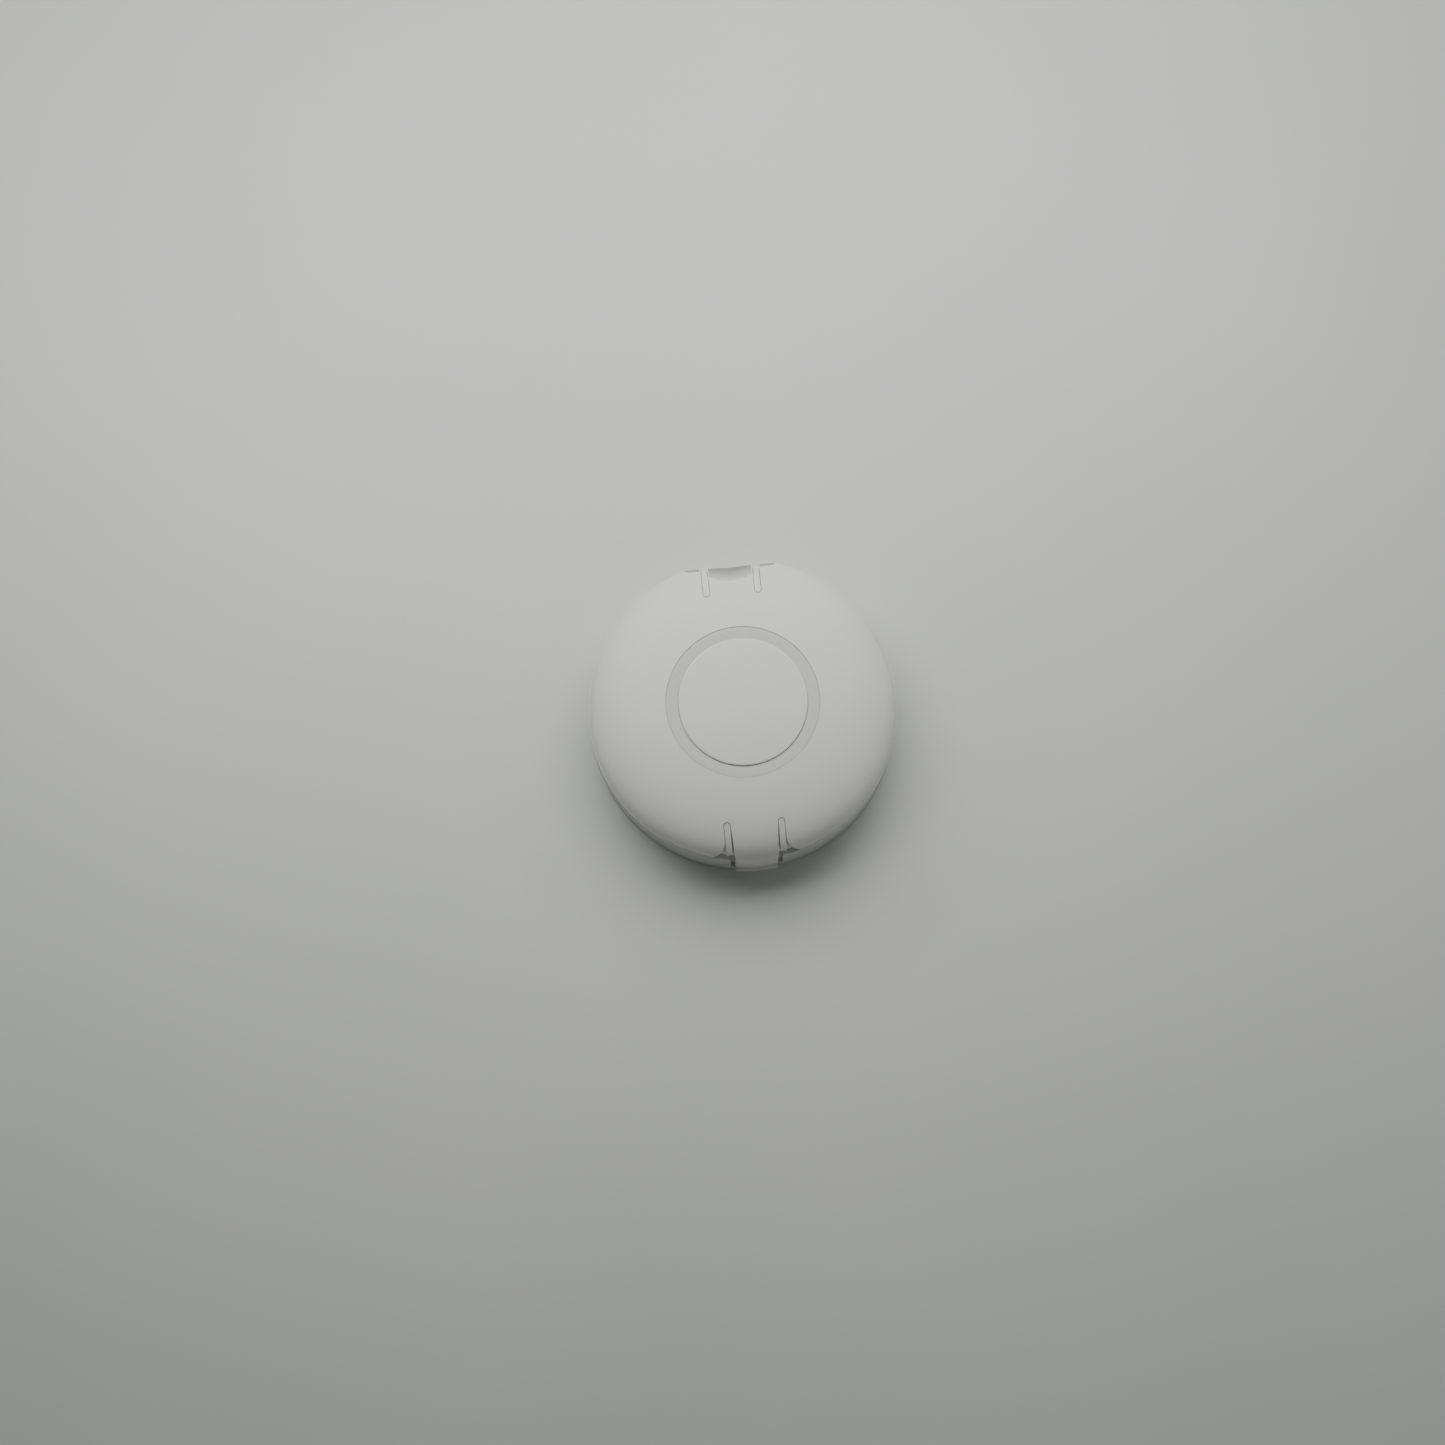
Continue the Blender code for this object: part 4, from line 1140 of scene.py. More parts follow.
def floor_ribs():
    """Low stiffening ribs on the floor, with a ring rib, clear of the bay and the posts."""
    ribs = []
    for k, degrees in enumerate((-10, -50, -70, -110, -130, 190, 15, 165)):
        start = Vector(polar(0.0180 if degrees < 0 or degrees > 180 else 0.0260, degrees))
        end = Vector(polar(WALL_INNER + 0.0005, degrees))
        side = (end - start).normalized().orthogonal() * 0.0005
        outline = [tuple(start + side), tuple(start - side), tuple(end - side), tuple(end + side)]
        ribs.append(prism(f"floor_rib_{k}", outline, FLOOR_TOP - 0.0004, FLOOR_TOP + 0.0016))
    return ribs


def make_base():
    """The tray: rounded wall and lip, floor with ribs, posts, hinge ears, port bay and plate slots."""
    base = turned("base_tray_fine", base_profile(), steps=288, sharp=40)
    unions = floor_ribs()
    block = box_mesh("hinge_block", (-0.019, HINGE_Y - 0.0035, 0.0030), (0.019, 0.0580, BASE_TOP - 0.0004))
    unions.append(block)
    bay = box_mesh(
        "bay_walls",
        (-BAY_HALF - BAY_WALL, BAY_FRONT - BAY_WALL, FLOOR_BOTTOM + 0.0005),
        (BAY_HALF + BAY_WALL, BAY_REAR + BAY_WALL, BAY_ROOF + BAY_WALL),
        bevel=0.0006,
        segments=3,
    )
    unions.append(bay)
    for i, (x, y) in enumerate(BOARD_SCREWS):
        unions.append(upright(f"post_{i}", POST_RADIUS, x, y, 0.003, BOARD_BOTTOM - GAP, 0.0002, 40))
    for other in unions:
        boolean(base, other, "UNION")
    cuts = [
        box_mesh("rear_lip_gap", (-0.07, 0.038, BASE_TOP), (0.07, 0.07, 0.0222)),
        hinge_cylinder("relief", HINGE_RELIEF, RELIEF_HALF, 0.0, 64),
        box_mesh("bay_inside", (-BAY_HALF, BAY_FRONT, -0.001), (BAY_HALF, BAY_REAR, BAY_ROOF)),
        box_mesh(
            "jack_window",
            (-JACK_HALF - GAP, BAY_FRONT - 0.003, ON_BOARD - 0.0002),
            (JACK_HALF + GAP, BAY_FRONT + 0.001, JACK_TOP + GAP),
        ),
    ]
    for other in cuts:
        boolean(base, other)
    for side in (-1, 1):
        inner = side * (LEAF_HALF_WIDTH + GAP)
        outer = side * EAR_OUTER_X
        ends = ((min(inner, outer), HINGE_Y, HINGE_Z), (max(inner, outer), HINGE_Y, HINGE_Z))
        foot = box_mesh(
            f"ear_foot_{side}",
            (ends[0][0], HINGE_Y - KNUCKLE_RADIUS, 0.0120),
            (ends[1][0], HINGE_Y + KNUCKLE_RADIUS - 0.0002, HINGE_Z),
        )
        boolean(base, foot, "UNION")
        boolean(base, cylinder_mesh(f"ear_{side}", KNUCKLE_RADIUS, *ends, 0.0002, 48), "UNION")
    boolean(base, hinge_cylinder("pin_bore", PIN_RADIUS + PIN_PLAY, PIN_BORE_HALF, 0, 32))
    boolean(base, box_mesh("base_chord", (-0.03, CHORD_Y - 0.0002, -0.001), (0.03, 0.070, 0.030)))
    for i, (x, y) in enumerate(BOARD_SCREWS):
        boolean(base, upright(f"post_bore_{i}", POST_BORE_RADIUS, x, y, 0.0042, 0.012, 0, 32))
    half = math.degrees(math.asin(LATCH_RECESS_HALF / LATCH_RECESS_RADIUS))
    outline = arc((0, 0), LATCH_RECESS_RADIUS, 270 - half, 270 + half, 24)
    outline += arc((0, 0), 0.064, 270 + half, 270 - half, 24)
    boolean(base, prism("latch_recess", outline, LATCH_RECESS_BOTTOM, BASE_TOP + 0.002))
    slot_half = STUD_RADIUS + 0.00045
    for degrees in STUD_ANGLES:
        last = degrees + TWIST_TRAVEL
        outline = arc((0, 0), STUD_CIRCLE + slot_half, degrees, last, 12)
        outline += arc(polar(STUD_CIRCLE, last), slot_half, last, last + 180, 10)[1:-1]
        outline += arc((0, 0), STUD_CIRCLE - slot_half, last, degrees, 12)
        outline += arc(polar(STUD_CIRCLE, degrees), slot_half, degrees + 180, degrees + 360, 10)[1:-1]
        boolean(base, prism(f"stud_slot_{degrees}", outline, 0.001, 0.005))
        entry = polar(STUD_CIRCLE, last)
        boolean(base, upright(f"slot_entry_{degrees}", SLOT_ENTRY_RADIUS, *entry, 0.001, 0.005, 0, 40))
    boolean(base, upright("reset_hole", RESET_HOLE_RADIUS, *RESET_AT, 0.0, 0.005, 0, 32))
    return tidy_mesh(base, sharp=35)


def make_plate():
    """The ceiling plate: rounded rim, three headed studs, screw slots and moulded stiffening rings."""
    soft = 0.0003
    profile = [(0.0, PLATE_TOP)]
    for ring in (0.0150, 0.0300, 0.0420):
        profile += [(ring - 0.0004, PLATE_TOP), (ring - 0.0002, PLATE_TOP - 0.0003)]
        profile += [(ring + 0.0002, PLATE_TOP - 0.0003), (ring + 0.0004, PLATE_TOP)]
    profile += arc((PLATE_RADIUS - soft, PLATE_TOP - soft), soft, 90, 0, 4)
    profile += arc((PLATE_RADIUS - soft, soft), soft, 0, -90, 4)
    for ring in (0.0435, 0.0310):
        profile += [(ring + 0.0004, 0.0), (ring + 0.0002, 0.0003)]
        profile += [(ring - 0.0002, 0.0003), (ring - 0.0004, 0.0)]
    profile += [(0.0, 0.0)]
    plate = turned("ceiling_plate", profile, steps=256, sharp=35)
    for degrees in STUD_ANGLES:
        place = polar(STUD_CIRCLE, degrees)
        stem = upright(f"stem_{degrees}", STUD_RADIUS, *place, 0.0004, FLOOR_TOP + 0.0008, 0, 32)
        boolean(plate, stem, "UNION")
        head_span = (FLOOR_TOP + GAP, FLOOR_TOP + 0.0013)
        head = upright(f"head_{degrees}", STUD_HEAD_RADIUS, *place, *head_span, 0.0002, 40)
        boolean(plate, head, "UNION")
    boolean(plate, box_mesh("plate_opening", (-0.0135, 0.0065, -0.001), (0.0135, 0.0375, 0.003)))
    for i, (x, y) in enumerate(PLATE_SCREWS):
        boolean(plate, upright(f"screw_hole_{i}", PLATE_SCREW_HOLE_RADIUS, x, y, -0.001, 0.003, 0, 40))
    boolean(plate, upright("plate_reset_hole", PLATE_RESET_HOLE_RADIUS, *RESET_AT, -0.001, 0.003, 0, 40))
    return tidy_mesh(plate, sharp=35)


# ---------------------------------------------------------------- materials of the CAD parts that stay


def solder_mask_material():
    """Green solder mask over copper: branching tracks, vias, pale pads and a silk-white grid."""
    nodes = Nodes("board_solder_mask")
    mask = nodes.noise(40.0, 3.0)
    base = nodes.ramp(mask, ((0.3, (0.008, 0.060, 0.028)), (0.7, (0.012, 0.082, 0.038))))
    brick = nodes.add("ShaderNodeTexBrick")
    brick.inputs["Scale"].default_value = 620.0
    brick.inputs["Mortar Size"].default_value = 0.03
    brick.inputs["Mortar Smooth"].default_value = 0.6
    brick.inputs["Color1"].default_value = (0, 0, 0, 1)
    brick.inputs["Color2"].default_value = (0, 0, 0, 1)
    brick.inputs["Mortar"].default_value = (1, 1, 1, 1)
    nodes.join(nodes.coordinates.outputs["Object"], brick.inputs["Vector"])
    cells = nodes.add("ShaderNodeTexVoronoi")
    cells.inputs["Scale"].default_value = 420.0
    nodes.join(nodes.coordinates.outputs["Object"], cells.inputs["Vector"])
    via = nodes.ramp(cells.outputs["Distance"], ((0.09, 1.0), (0.13, 0.0)))
    zone = nodes.ramp(nodes.noise(70.0, 1.0), ((0.48, 0.0), (0.52, 1.0)))
    track = nodes.add("ShaderNodeMix", data_type="FLOAT", blend_type="MIX")
    nodes.join(zone, track.inputs[0])
    track.inputs[2].default_value = 0.0
    nodes.join(brick.outputs["Color"], track.inputs[3])
    lighter = nodes.add("ShaderNodeMix", data_type="RGBA", blend_type="MIX")
    nodes.join(track.outputs[0], lighter.inputs[0])
    nodes.join(base, lighter.inputs[6])
    lighter.inputs[7].default_value = (0.035, 0.17, 0.085, 1)
    dotted = nodes.add("ShaderNodeMix", data_type="RGBA", blend_type="MIX")
    nodes.join(via, dotted.inputs[0])
    nodes.join(lighter.outputs[2], dotted.inputs[6])
    dotted.inputs[7].default_value = (0.33, 0.30, 0.17, 1)
    nodes.join(dotted.outputs[2], nodes.shader.inputs["Base Color"])
    nodes.join(nodes.range(mask, 0.28, 0.42), nodes.shader.inputs["Roughness"])
    nodes.join(nodes.bump(track.outputs[0], 0.00003, 0.6), nodes.shader.inputs["Normal"])
    nodes.set("Coat Weight", 0.3)
    return nodes.material


CHIP = moulded_plastic("chip_epoxy", (0.030, 0.030, 0.032), 0.5, grain=5000.0, spread=0.15).material
BLACK = moulded_plastic("black_plastic", (0.022, 0.022, 0.024), 0.42, grain=4200.0, spread=0.1).material
TIN = metal_material("tinned_steel", (0.66, 0.66, 0.63), 0.30, (1.0, 12.0, 1.0), 900.0)
STEEL = metal_material("bright_steel", (0.58, 0.58, 0.59), 0.26, (1.0, 1.0, 9.0), 2500.0)
ALUMINIUM = metal_material("brushed_aluminium", (0.72, 0.73, 0.74), 0.34, (14.0, 1.0, 1.0), 1200.0)
BRASS = metal_material("gold_plated_brass", (0.80, 0.58, 0.24), 0.24, (1.0, 1.0, 6.0), 2400.0)
INNER = moulded_plastic("inner_white_plastic", (0.72, 0.72, 0.70), 0.5, grain=2600.0).material
MASK = solder_mask_material()
PAD = moulded_plastic("thermal_pad_silicone", (0.36, 0.44, 0.58), 0.75, grain=1500.0, spread=0.08).material
JACKET = moulded_plastic("lead_jacket", (0.045, 0.045, 0.05), 0.45, grain=3000.0, spread=0.1).material

NODE_MATERIALS = {
    "base_tray": SHELL,
    "dome_cover": SHELL,
    "latch_tongue": SHELL,
    "center_disc": SHELL,
    "light_ring": GUIDE,
    "front_slot_shield": SHELL,
    "rear_slot_shield": SHELL,
    "mounting_plate": INNER,
    "main_board": MASK,
    "jack_insert": BLACK,
    "reset_switch": BLACK,
    "reset_button": BLACK,
    "processor": CHIP,
    "memory_chip": CHIP,
    "flash_chip": CHIP,
    "lan_transformer": BLACK,
    "jack_shell": TIN,
    "shield_can": TIN,
    "antenna_lead": JACKET,
    "antenna": BRASS,
    "coax_socket": BRASS,
    "thermal_pad": PAD,
    "heat_spreader": ALUMINIUM,
    "capacitor": ALUMINIUM,
    "power_inductor": CHIP,
    "status_led": GUIDE,
    "hinge_pin": STEEL,
    "board_screw": STEEL,
    "disc_screw": STEEL,
}


def dress_cad_nodes():
    """Each CAD node takes the material of the longest name that its own name starts with."""
    for name, node in frame["nodes"].items():
        match = max((key for key in NODE_MATERIALS if name.startswith(key)), key=len)
        node.data.materials.clear()
        node.data.materials.append(NODE_MATERIALS[match])


dress_cad_nodes()


finish_piece(make_base(), "base", BASE_SHELL, "shell_white", "base_tray")
finish_piece(make_plate(), "mounting_plate", INNER, "inner_plastic", "mounting_plate")


# ---------------------------------------------------------------- the board's parts in detail


def merged(name, parts):
    """Several pieces as one mesh. The parts are used up."""
    bm = bmesh.new()
    for part in parts:
        bm.from_mesh(part.data)
        bpy.data.objects.remove(part, do_unlink=True)
    return facet(from_bmesh(name, bm))


def facet(made, angle=22):
    """Smooth shading only across shallow edges, so that flat faces with holes stay flat."""
    return shaded(made, angle)


def middle_of(node):
    """The middle and the two corners of a CAD node's box."""
    low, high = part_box(node)
    return (Vector(low) + Vector(high)) / 2, Vector(low), Vector(high)


VENT_RADIUS = 0.00065
NOTCH_PITCH = 0.0045
NOTCH_HALF = 0.0006
NOTCH_DEPTH = 0.00025


def make_shield_can(node):
    """A pressed steel can: soft-edged lid with vent holes, on a notched frame."""
    middle, low, high = middle_of(node)
    lid_low = low + Vector((0.0003, 0.0003, 0.0004))
    lid = box_mesh(f"{node}_lid", lid_low, high - Vector((0.0003, 0.0003, 0)), 0.0005, 3)
    pitch = 0.0032
    vents = []
    for i in range(-2, 3):
        for j in range(-2, 3):
            if abs(i) == 2 and abs(j) == 2:
                continue
            x = middle.x + i * pitch
            y = middle.y + j * pitch
            vents.append(upright("vent", VENT_RADIUS, x, y, high.z - 0.00035, high.z + 0.001, 0, 20))
    boolean(lid, merged("vents", vents))
    frame_top = low.z + 0.0011
    fence = box_mesh(f"{node}_frame", low, (high.x, high.y, frame_top), 0.0002, 2)
    notches = []
    for k in (-1.5, -0.5, 0.5, 1.5):
        shift = k * NOTCH_PITCH
        for side in (low, high):
            across = (middle.x + shift, side.y), (NOTCH_HALF, NOTCH_DEPTH)
            along = (side.x, middle.y + shift), (NOTCH_DEPTH, NOTCH_HALF)
            for (x, y), (wide, deep) in (across, along):
                bottom = (x - wide, y - deep, frame_top - 0.0006)
                notches.append(box_mesh("notch", bottom, (x + wide, y + deep, frame_top + 0.001)))
    boolean(fence, merged("notches", notches))
    finish_piece(facet(lid), "base", TIN, "tinplate", node)
    finish_piece(facet(fence), "base", TIN, "tinplate")


def make_leads(node, count, along_x, foot=0.0009, width=0.0004):
    """Gull-wing leads down two sides of a chip, as one piece."""
    middle, low, high = middle_of(node)
    parts = []
    reach = (high.x - low.x) / 2 if along_x else (high.y - low.y) / 2
    span = (high.y - low.y) if along_x else (high.x - low.x)
    for side in (-1, 1):
        for k in range(count):
            shift = (k - (count - 1) / 2) * span * 0.86 / max(count - 1, 1)
            inner = reach - foot
            shoulder = ((inner - 0.0003, reach - foot * 0.45), (0.0006, 0.00075))
            drop = ((reach - foot * 0.55, reach - foot * 0.38), (0.0, 0.00075))
            toe = ((reach - foot * 0.5, reach), (0.0, 0.00016))
            for (a, b), (bottom, top) in (shoulder, drop, toe):
                near, far = sorted((side * a, side * b))
                if along_x:
                    start = (middle.x + near, middle.y + shift - width / 2)
                    end = (middle.x + far, middle.y + shift + width / 2)
                else:
                    start = (middle.x + shift - width / 2, middle.y + near)
                    end = (middle.x + shift + width / 2, middle.y + far)
                parts.append(box_mesh("lead", (*start, low.z + bottom), (*end, low.z + top), 0.00004, 1))
    leads = merged(f"{node}_leads", parts)
    finish_piece(leads, "base", TIN, "tinplate")


def make_chip(node, material, slot, lead_count=0, along_x=True, foot=0.0009):
    """A moulded package with drafted edges, a pin-one dimple and its leads."""
    low, high = middle_of(node)[1:]
    inset = Vector((foot, 0, 0)) if along_x else Vector((0, foot, 0))
    if not lead_count:
        inset = Vector((0, 0, 0))
    body = box_mesh(f"{node}_package", low + inset + Vector((0, 0, 0.0001)), high - inset, 0.00022, 2)
    x = low.x + inset.x + 0.0011
    y = high.y - inset.y - 0.0011
    boolean(body, cylinder_mesh("dimple", 0.0004, (x, y, high.z - 0.00012), (x, y, high.z + 0.001), 0, 24))
    finish_piece(facet(body), "base", material, slot, node)
    if lead_count:
        make_leads(node, lead_count, along_x, foot)


def make_capacitor(node):
    """An aluminium can on its plastic foot, with a rolled bead, a scored vent and a polarity mark."""
    middle, low, high = middle_of(node)
    radius = (high.x - low.x) / 2
    can_r = radius - 0.0002
    top = high.z
    bead_z = low.z + 0.0024
    profile = [(0.0, top - 0.0002), (can_r - 0.0007, top - 0.0002), (can_r - 0.0005, top)]
    profile += arc((can_r - 0.0003, top - 0.0003), 0.0003, 90, 0, 4)
    profile += [(can_r, bead_z + 0.0006), (can_r - 0.0004, bead_z + 0.0002)]
    profile += [(can_r - 0.0004, bead_z - 0.0002), (can_r, bead_z - 0.0006)]
    profile += [(can_r, low.z + 0.0006), (0.0, low.z + 0.0006)]
    can = turned(f"{node}_can", profile, steps=72, sharp=40)
    can.data.transform(Matrix.Translation((middle.x, middle.y, 0.0)))
    lid_middle = Matrix.Translation((middle.x, middle.y, top - 0.0002))
    for turn in (0, 60, 120):
        score = box_mesh("score", (-can_r * 0.72, -0.00009, -0.00008), (can_r * 0.72, 0.00009, 0.0005))
        score.data.transform(lid_middle @ Matrix.Rotation(math.radians(turn), 4, "Z"))
        boolean(can, score)
    finish_piece(facet(can), "base", ALUMINIUM, "aluminium", node)
    foot = box_mesh(f"{node}_foot", low, (high.x, high.y, low.z + 0.0011), 0.0007, 2)
    finish_piece(foot, "base", BLACK, "black_plastic")
    outline = [(middle.x + x, middle.y + y) for x, y in arc((0, 0), can_r - 0.0008, 130, 230, 16)]
    mark = prism(f"{node}_mark", outline, top - 0.00021, top - 0.00017)
    finish_piece(mark, "base", BLACK, "black_plastic")


def make_inductor(node):
    """A moulded power inductor: chamfered block, a ring groove on top and folded tin ends."""
    middle, low, high = middle_of(node)
    block_low = low + Vector((0.0002, 0, 0.0001))
    block = box_mesh(f"{node}_block", block_low, high - Vector((0.0002, 0, 0)), 0.0007, 3)
    half = (high.x - low.x) / 2
    outer, inner = half * 0.80, half * 0.70
    groove = turned("groove", [(outer, 0.001), (outer, -0.0002), (inner, -0.0002), (inner, 0.001)], 64, True)
    groove.data.transform(Matrix.Translation((middle.x, middle.y, high.z)))
    boolean(block, groove)
    finish_piece(facet(block), "base", CHIP, "chip_epoxy", node)
    ends = []
    for side in (-1, 1):
        x = middle.x + side * (half - 0.0001)
        end_low = (x - 0.0001, middle.y - 0.0016, low.z)
        ends.append(box_mesh("end", end_low, (x + 0.0001, middle.y + 0.0016, low.z + 0.0016)))
    finish_piece(merged(f"{node}_ends", ends), "base", TIN, "tinplate")


def make_led(node):
    """A small white lamp body with a clear bead in its cup."""
    middle, low, high = middle_of(node)
    body = box_mesh(f"{node}_body", low, (high.x, high.y, low.z + 0.0006), 0.0001, 2)
    finish_piece(body, "base", INNER, "inner_plastic", node)
    profile = arc((0, 0), 0.0009, 90, 0, 8)
    lens = turned(f"{node}_lens", [(r, z * 0.42) for r, z in profile] + [(0.0, 0.0)], steps=40, sharp=60)
    lens.data.transform(Matrix.Translation((middle.x, middle.y, low.z + 0.0006)))
    finish_piece(lens, "base", GUIDE, "light_guide")


def make_coax_socket(node):
    """A snap-on coaxial socket: rolled rim, dished middle and centre pin."""
    middle, low, high = middle_of(node)
    radius = (high.x - low.x) / 2
    height = high.z - low.z
    profile = [(0.0, height * 0.85), (radius * 0.16, height * 0.85), (radius * 0.18, height * 0.35)]
    profile += [(radius * 0.66, height * 0.35), (radius * 0.68, height * 0.92), (radius * 0.78, height)]
    profile += [(radius * 0.92, height * 0.96), (radius, height * 0.8), (radius * 0.94, height * 0.55)]
    profile += [(radius, height * 0.3), (radius, 0.0), (0.0, 0.0)]
    socket = turned(f"{node}_turned", profile, steps=56, sharp=30)
    socket.data.transform(Matrix.Translation((middle.x, middle.y, low.z)))
    finish_piece(socket, "base", BRASS, "gold_brass", node)


def make_jack_shell():
    """The socket's shield: soft-edged tin box with pressed spring tabs and an open mouth."""
    middle, low, high = middle_of("jack_shell")
    shell = box_mesh("jack_shield", low, high, 0.0004, 2)
    wall = 0.0007
    room = box_mesh("room", low + Vector((wall, wall, wall)), (high.x - wall, high.y + 0.002, high.z - wall))
    boolean(shell, room)
    grooves = []
    depth = 0.00022
    half = 0.00012
    tab_half = 0.0013
    tab_rear = low.y + 0.0035
    tab_front = high.y - 0.0030
    bottom, clear = high.z - depth, high.z + 0.001
    for x in (middle.x - 0.0045, middle.x + 0.0045):
        for side in (-1, 1):
            edge = x + side * tab_half
            grooves.append(((edge - half, tab_rear, bottom), (edge + half, tab_front, clear)))
        grooves.append(((x - tab_half, tab_rear, bottom), (x + tab_half, tab_rear + 0.00024, clear)))
    for side in (low, high):
        for z in (middle.z - 0.0016, middle.z + 0.0016):
            grooves.append(((side.x - depth, tab_rear, z - half), (side.x + depth, tab_front, z + half)))
    # The grooves overlap, so they are cut one at a time.
    for groove in grooves:
        boolean(shell, box_mesh("groove", *groove))
    finish_piece(facet(shell), "base", TIN, "tinplate", "jack_shell")
    contacts = []
    insert_low, insert_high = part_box("jack_insert")
    for k in range(8):
        x = (k - 3.5) * 0.00102
        start = (x - 0.00022, insert_low[1] + 0.009, insert_low[2] + 0.0022)
        end = (x + 0.00022, insert_high[1] - 0.0015, insert_low[2] + 0.0026)
        contacts.append(box_mesh("contact", start, end))
    finish_piece(merged("jack_contacts", contacts), "base", BRASS, "gold_brass")


def make_reset_switch():
    """A plain soft-edged block; its plunger can't be seen."""
    body = box_mesh("reset_switch_body", *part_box("reset_switch"), 0.0003, 2)
    finish_piece(body, "base", BLACK, "black_plastic", "reset_switch")


def tall_parts():
    """The boxes of everything that stands on the board."""
    names = frame["record"]["behaviour"]["bodies"]["base"]
    boxes = [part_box(name) for name in names if name not in ("base_tray", "main_board", "hinge_pin")]
    return [(low, high) for low, high in boxes if high[2] >= BOARD_TOP]


TALL_PARTS = tall_parts()


def board_free(x, y, margin):
    """Whether a small part may sit at this place on the board."""
    if math.hypot(x, y) > BOARD_USED_RADIUS or y > BOARD_USED_REAR:
        return False
    if abs(x) < BAY_HALF + BAY_WALL + 0.0015 and y > BAY_FRONT - BAY_WALL - 0.0015:
        return False
    for px, py in BOARD_SCREWS:
        if math.hypot(x - px, y - py) < SCREW_CLEARANCE:
            return False
    for low, high in TALL_PARTS:
        if low[0] - margin < x < high[0] + margin and low[1] - margin < y < high[1] + margin:
            return False
    pillars = (polar(GUIDE_RADIUS, degrees) for degrees in GUIDE_LEG_ANGLES)
    return all(math.hypot(x - px, y - py) > PILLAR_CLEARANCE for px, py in pillars)


def make_small_parts():
    """Rows of chip resistors and capacitors with tinned ends, in the free places of the board."""
    random = np.random.default_rng(11)
    groups = {"resistor": [], "ceramic": [], "end": []}
    floor = BOARD_TOP + 0.00002
    spots = []
    for row in np.arange(-0.0470, 0.0460, 0.0021):
        for column in np.arange(-0.0470, 0.0471, 0.0027):
            if random.random() < 0.42 and board_free(column, row, 0.0013):
                spots.append((column, row))
    for x, y in spots:
        kind = "resistor" if random.random() < 0.55 else "ceramic"
        upright = random.random() < 0.25
        half_long, half_short = 0.0008, 0.0004
        height = 0.00045 if kind == "resistor" else 0.0007
        half = (half_short, half_long) if upright else (half_long, half_short)
        body_high = (x + half[0], y + half[1], floor + height)
        groups[kind].append(box_mesh("b", (x - half[0], y - half[1], floor), body_high, 0.00005, 1))
        for side in (-1, 1):
            shift = side * (half_long - 0.00015)
            cx, cy = (x, y + shift) if upright else (x + shift, y)
            wide = (half_short + 0.00003, 0.0002) if upright else (0.0002, half_short + 0.00003)
            low = (cx - wide[0], cy - wide[1], floor - 0.00001)
            high = (cx + wide[0], cy + wide[1], floor + height + 0.00003)
            groups["end"].append(box_mesh("e", low, high, 0.00005, 1))
    finish_piece(merged("chip_resistors", groups["resistor"]), "base", CHIP, "chip_epoxy")
    finish_piece(merged("ceramic_capacitors", groups["ceramic"]), "base", CERAMIC, "chip_epoxy")
    finish_piece(merged("part_ends", groups["end"]), "base", TIN, "tinplate")


def make_board_marks():
    """Bare rings round the board's screws."""
    rings = []
    for x, y in BOARD_SCREWS:
        ring = turned("r", [(0.0022, 0.00004), (0.0034, 0.00004), (0.0034, 0.0), (0.0022, 0.0)], 48, True)
        ring.data.transform(Matrix.Translation((x, y, BOARD_TOP)))
        rings.append(ring)
    finish_piece(merged("screw_pads", rings), "base", BRASS, "gold_brass")


def make_bay_ribs():
    """A raised frame and a cross on the roof of the port bay."""
    top = BAY_ROOF + BAY_WALL
    half = BAY_HALF + BAY_WALL - 0.0022
    front = BAY_FRONT - BAY_WALL + 0.0022
    rear = BAY_REAR + BAY_WALL - 0.0022
    middle = (front + rear) / 2
    bars = [((-half, front), (half, front)), ((-half, rear), (half, rear)), ((-half, middle), (half, middle))]
    bars += [((-half, front), (-half, rear)), ((half, front), (half, rear)), ((0, front), (0, rear))]
    width = 0.0005
    parts = []
    for (x1, y1), (x2, y2) in bars:
        low = (x1 - width, y1 - width, top - 0.0003)
        parts.append(box_mesh("bar", low, (x2 + width, y2 + width, top + 0.0005), 0.0002, 2))
    finish_piece(merged("bay_roof_ribs", parts), "base", BASE_SHELL, "shell_white")


def make_ceiling_ribs():
    """Thin ribs under the dome, between the shelf and the rim."""
    ribs = []
    for degrees in (20, 50, 130, 160, 200, 235, 305, 340):
        angle = math.radians(degrees)
        across = Vector((-math.sin(angle), math.cos(angle), 0.0)) * 0.0004
        rows = []
        for s in np.linspace(distance_at(CEILING_RIB_INNER), distance_at(CEILING_RIB_OUTER), 16):
            ring = []
            for inset in (COVER_WALL - 0.0003, COVER_WALL + 0.0014):
                radius, height = section_point(s, inset)
                at = Vector((radius * math.cos(angle), radius * math.sin(angle), height))
                ring.append((at - across, at + across))
            rows.append([ring[0][0], ring[0][1], ring[1][1], ring[1][0]])
        ribs.append(loft(f"rib_{degrees}", rows))
    finish_piece(merged("ceiling_ribs", ribs), "cover", SHELL, "shell_white")


CERAMIC_BROWN = (0.36, 0.25, 0.15)
CERAMIC = moulded_plastic("ceramic_capacitor_body", CERAMIC_BROWN, 0.4, grain=2500.0, spread=0.2).material

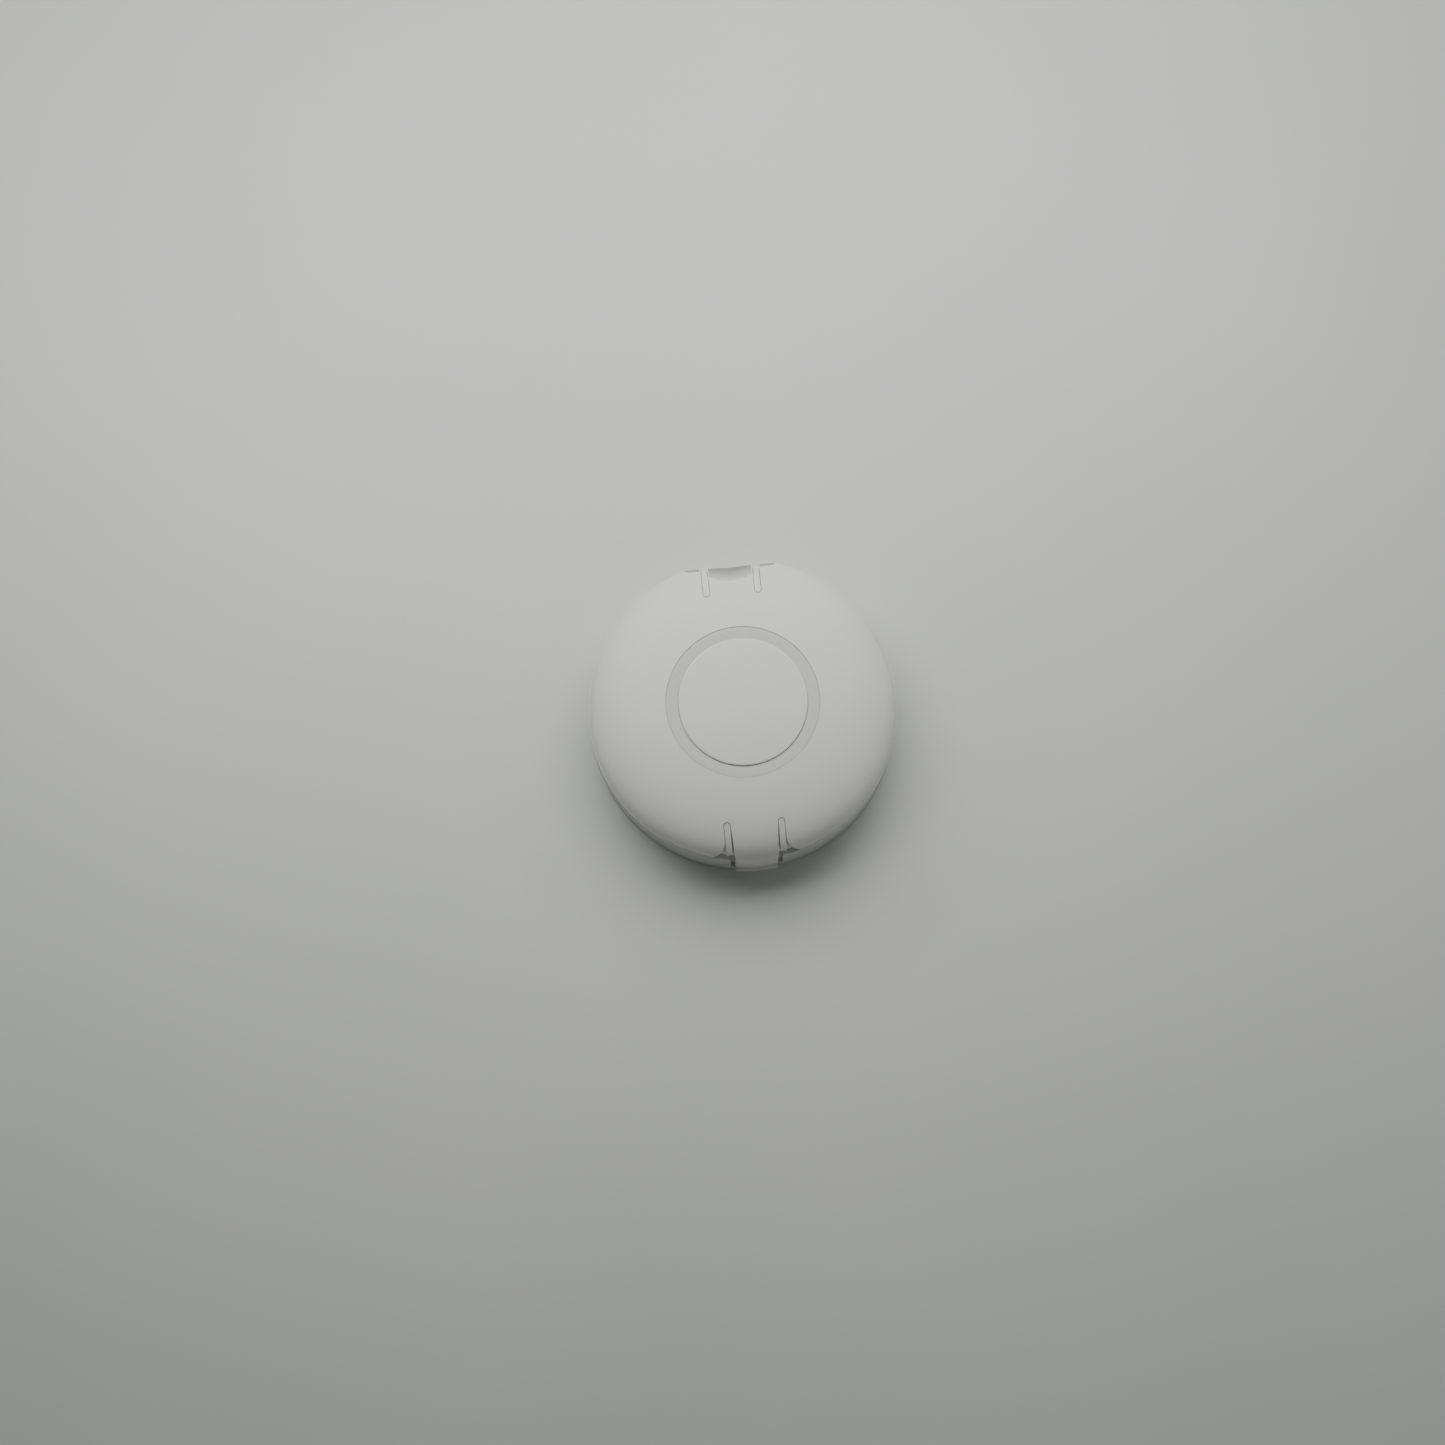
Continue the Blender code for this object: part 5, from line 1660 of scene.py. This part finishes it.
for can_node in ("shield_can_left", "shield_can_right"):
    make_shield_can(can_node)
make_chip("memory_chip", CHIP, "chip_epoxy", 7, True)
make_chip("flash_chip", CHIP, "chip_epoxy", 5, True)
make_chip("processor", CHIP, "chip_epoxy")
make_chip("lan_transformer", BLACK, "black_plastic", 9, False, 0.0012)
for can_node in ("capacitor_1", "capacitor_2", "capacitor_3"):
    make_capacitor(can_node)
make_inductor("power_inductor_front")
make_inductor("power_inductor_rear")
for led_node in ("status_led_1", "status_led_2", "status_led_3"):
    make_led(led_node)
for socket_node in [n for n in sorted(frame["nodes"]) if n.startswith("coax_socket")]:
    make_coax_socket(socket_node)
make_jack_shell()
make_reset_switch()
make_small_parts()
make_board_marks()
make_ceiling_ribs()
make_bay_ribs()

# ---------------------------------------------------------------- floor, light and camera


def make_stage():
    bm = bmesh.new()
    bmesh.ops.create_grid(bm, x_segments=1, y_segments=1, size=3.0)
    floor = from_bmesh("floor", bm)
    floor.location.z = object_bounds()[0][2] - 0.0002
    nodes = Nodes("pale_table")
    patch = nodes.noise(5.0, 4.0)
    shade = nodes.ramp(patch, ((0.3, (0.66, 0.69, 0.665)), (0.7, (0.71, 0.735, 0.71))))
    nodes.join(shade, nodes.shader.inputs["Base Color"])
    nodes.join(nodes.range(nodes.noise(60.0), 0.5, 0.62), nodes.shader.inputs["Roughness"])
    floor.data.materials.append(nodes.material)


def area_light(name, place, target, size, power, colour=(1.0, 1.0, 1.0)):
    data = bpy.data.lights.new(name, "AREA")
    data.shape = "RECTANGLE"
    data.size, data.size_y = size
    data.energy = power
    data.color = colour
    lamp = bpy.data.objects.new(name, data)
    bpy.context.scene.collection.objects.link(lamp)
    lamp.location = place
    lamp.rotation_euler = (Vector(target) - Vector(place)).to_track_quat("-Z", "Y").to_euler()


def make_light():
    area_light("overhead", (-0.02, 0.27, 0.38), (0, 0, 0), (0.7, 0.4), 2.8, (1.0, 0.995, 0.98))
    area_light("left_glint", (-0.55, 0.72, 0.48), (0, 0, 0), (1.3, 0.02), 1.1)
    area_light("right_glint", (0.724, 0.385, 0.50), (0, 0, 0), (1.0, 0.02), 0.8)
    area_light("low_glint", (0.443, -0.567, 0.69), (0, 0, 0), (0.8, 0.02), 0.5)
    world = bpy.data.worlds.new("soft_room")
    world.use_nodes = True
    background = world.node_tree.nodes["Background"]
    background.inputs["Color"].default_value = (0.93, 0.95, 0.95, 1.0)
    background.inputs["Strength"].default_value = 0.075
    bpy.context.scene.world = world


def make_camera():
    down = math.radians(90 - CAMERA_ELEVATION)
    turn = math.radians(CAMERA_TURN)
    forward = Vector((math.sin(turn) * math.sin(down), math.cos(turn) * math.sin(down), -math.cos(down)))
    right = Vector((math.cos(turn), -math.sin(turn), 0.0))
    up = right.cross(forward)
    data = bpy.data.cameras.new("camera")
    data.lens = CAMERA_LENS
    data.sensor_width = 36.0
    data.clip_start = 0.01
    camera = bpy.data.objects.new("camera", data)
    bpy.context.scene.collection.objects.link(camera)
    aim = Vector((0.0, 0.0, SEAM_Z)) + right * VIEW_OFFSET[0] + up * VIEW_OFFSET[1]
    camera.location = aim - forward * CAMERA_DISTANCE
    camera.rotation_euler = Matrix((right, up, -forward)).transposed().to_euler()
    bpy.context.scene.camera = camera


make_stage()
make_light()
make_camera()
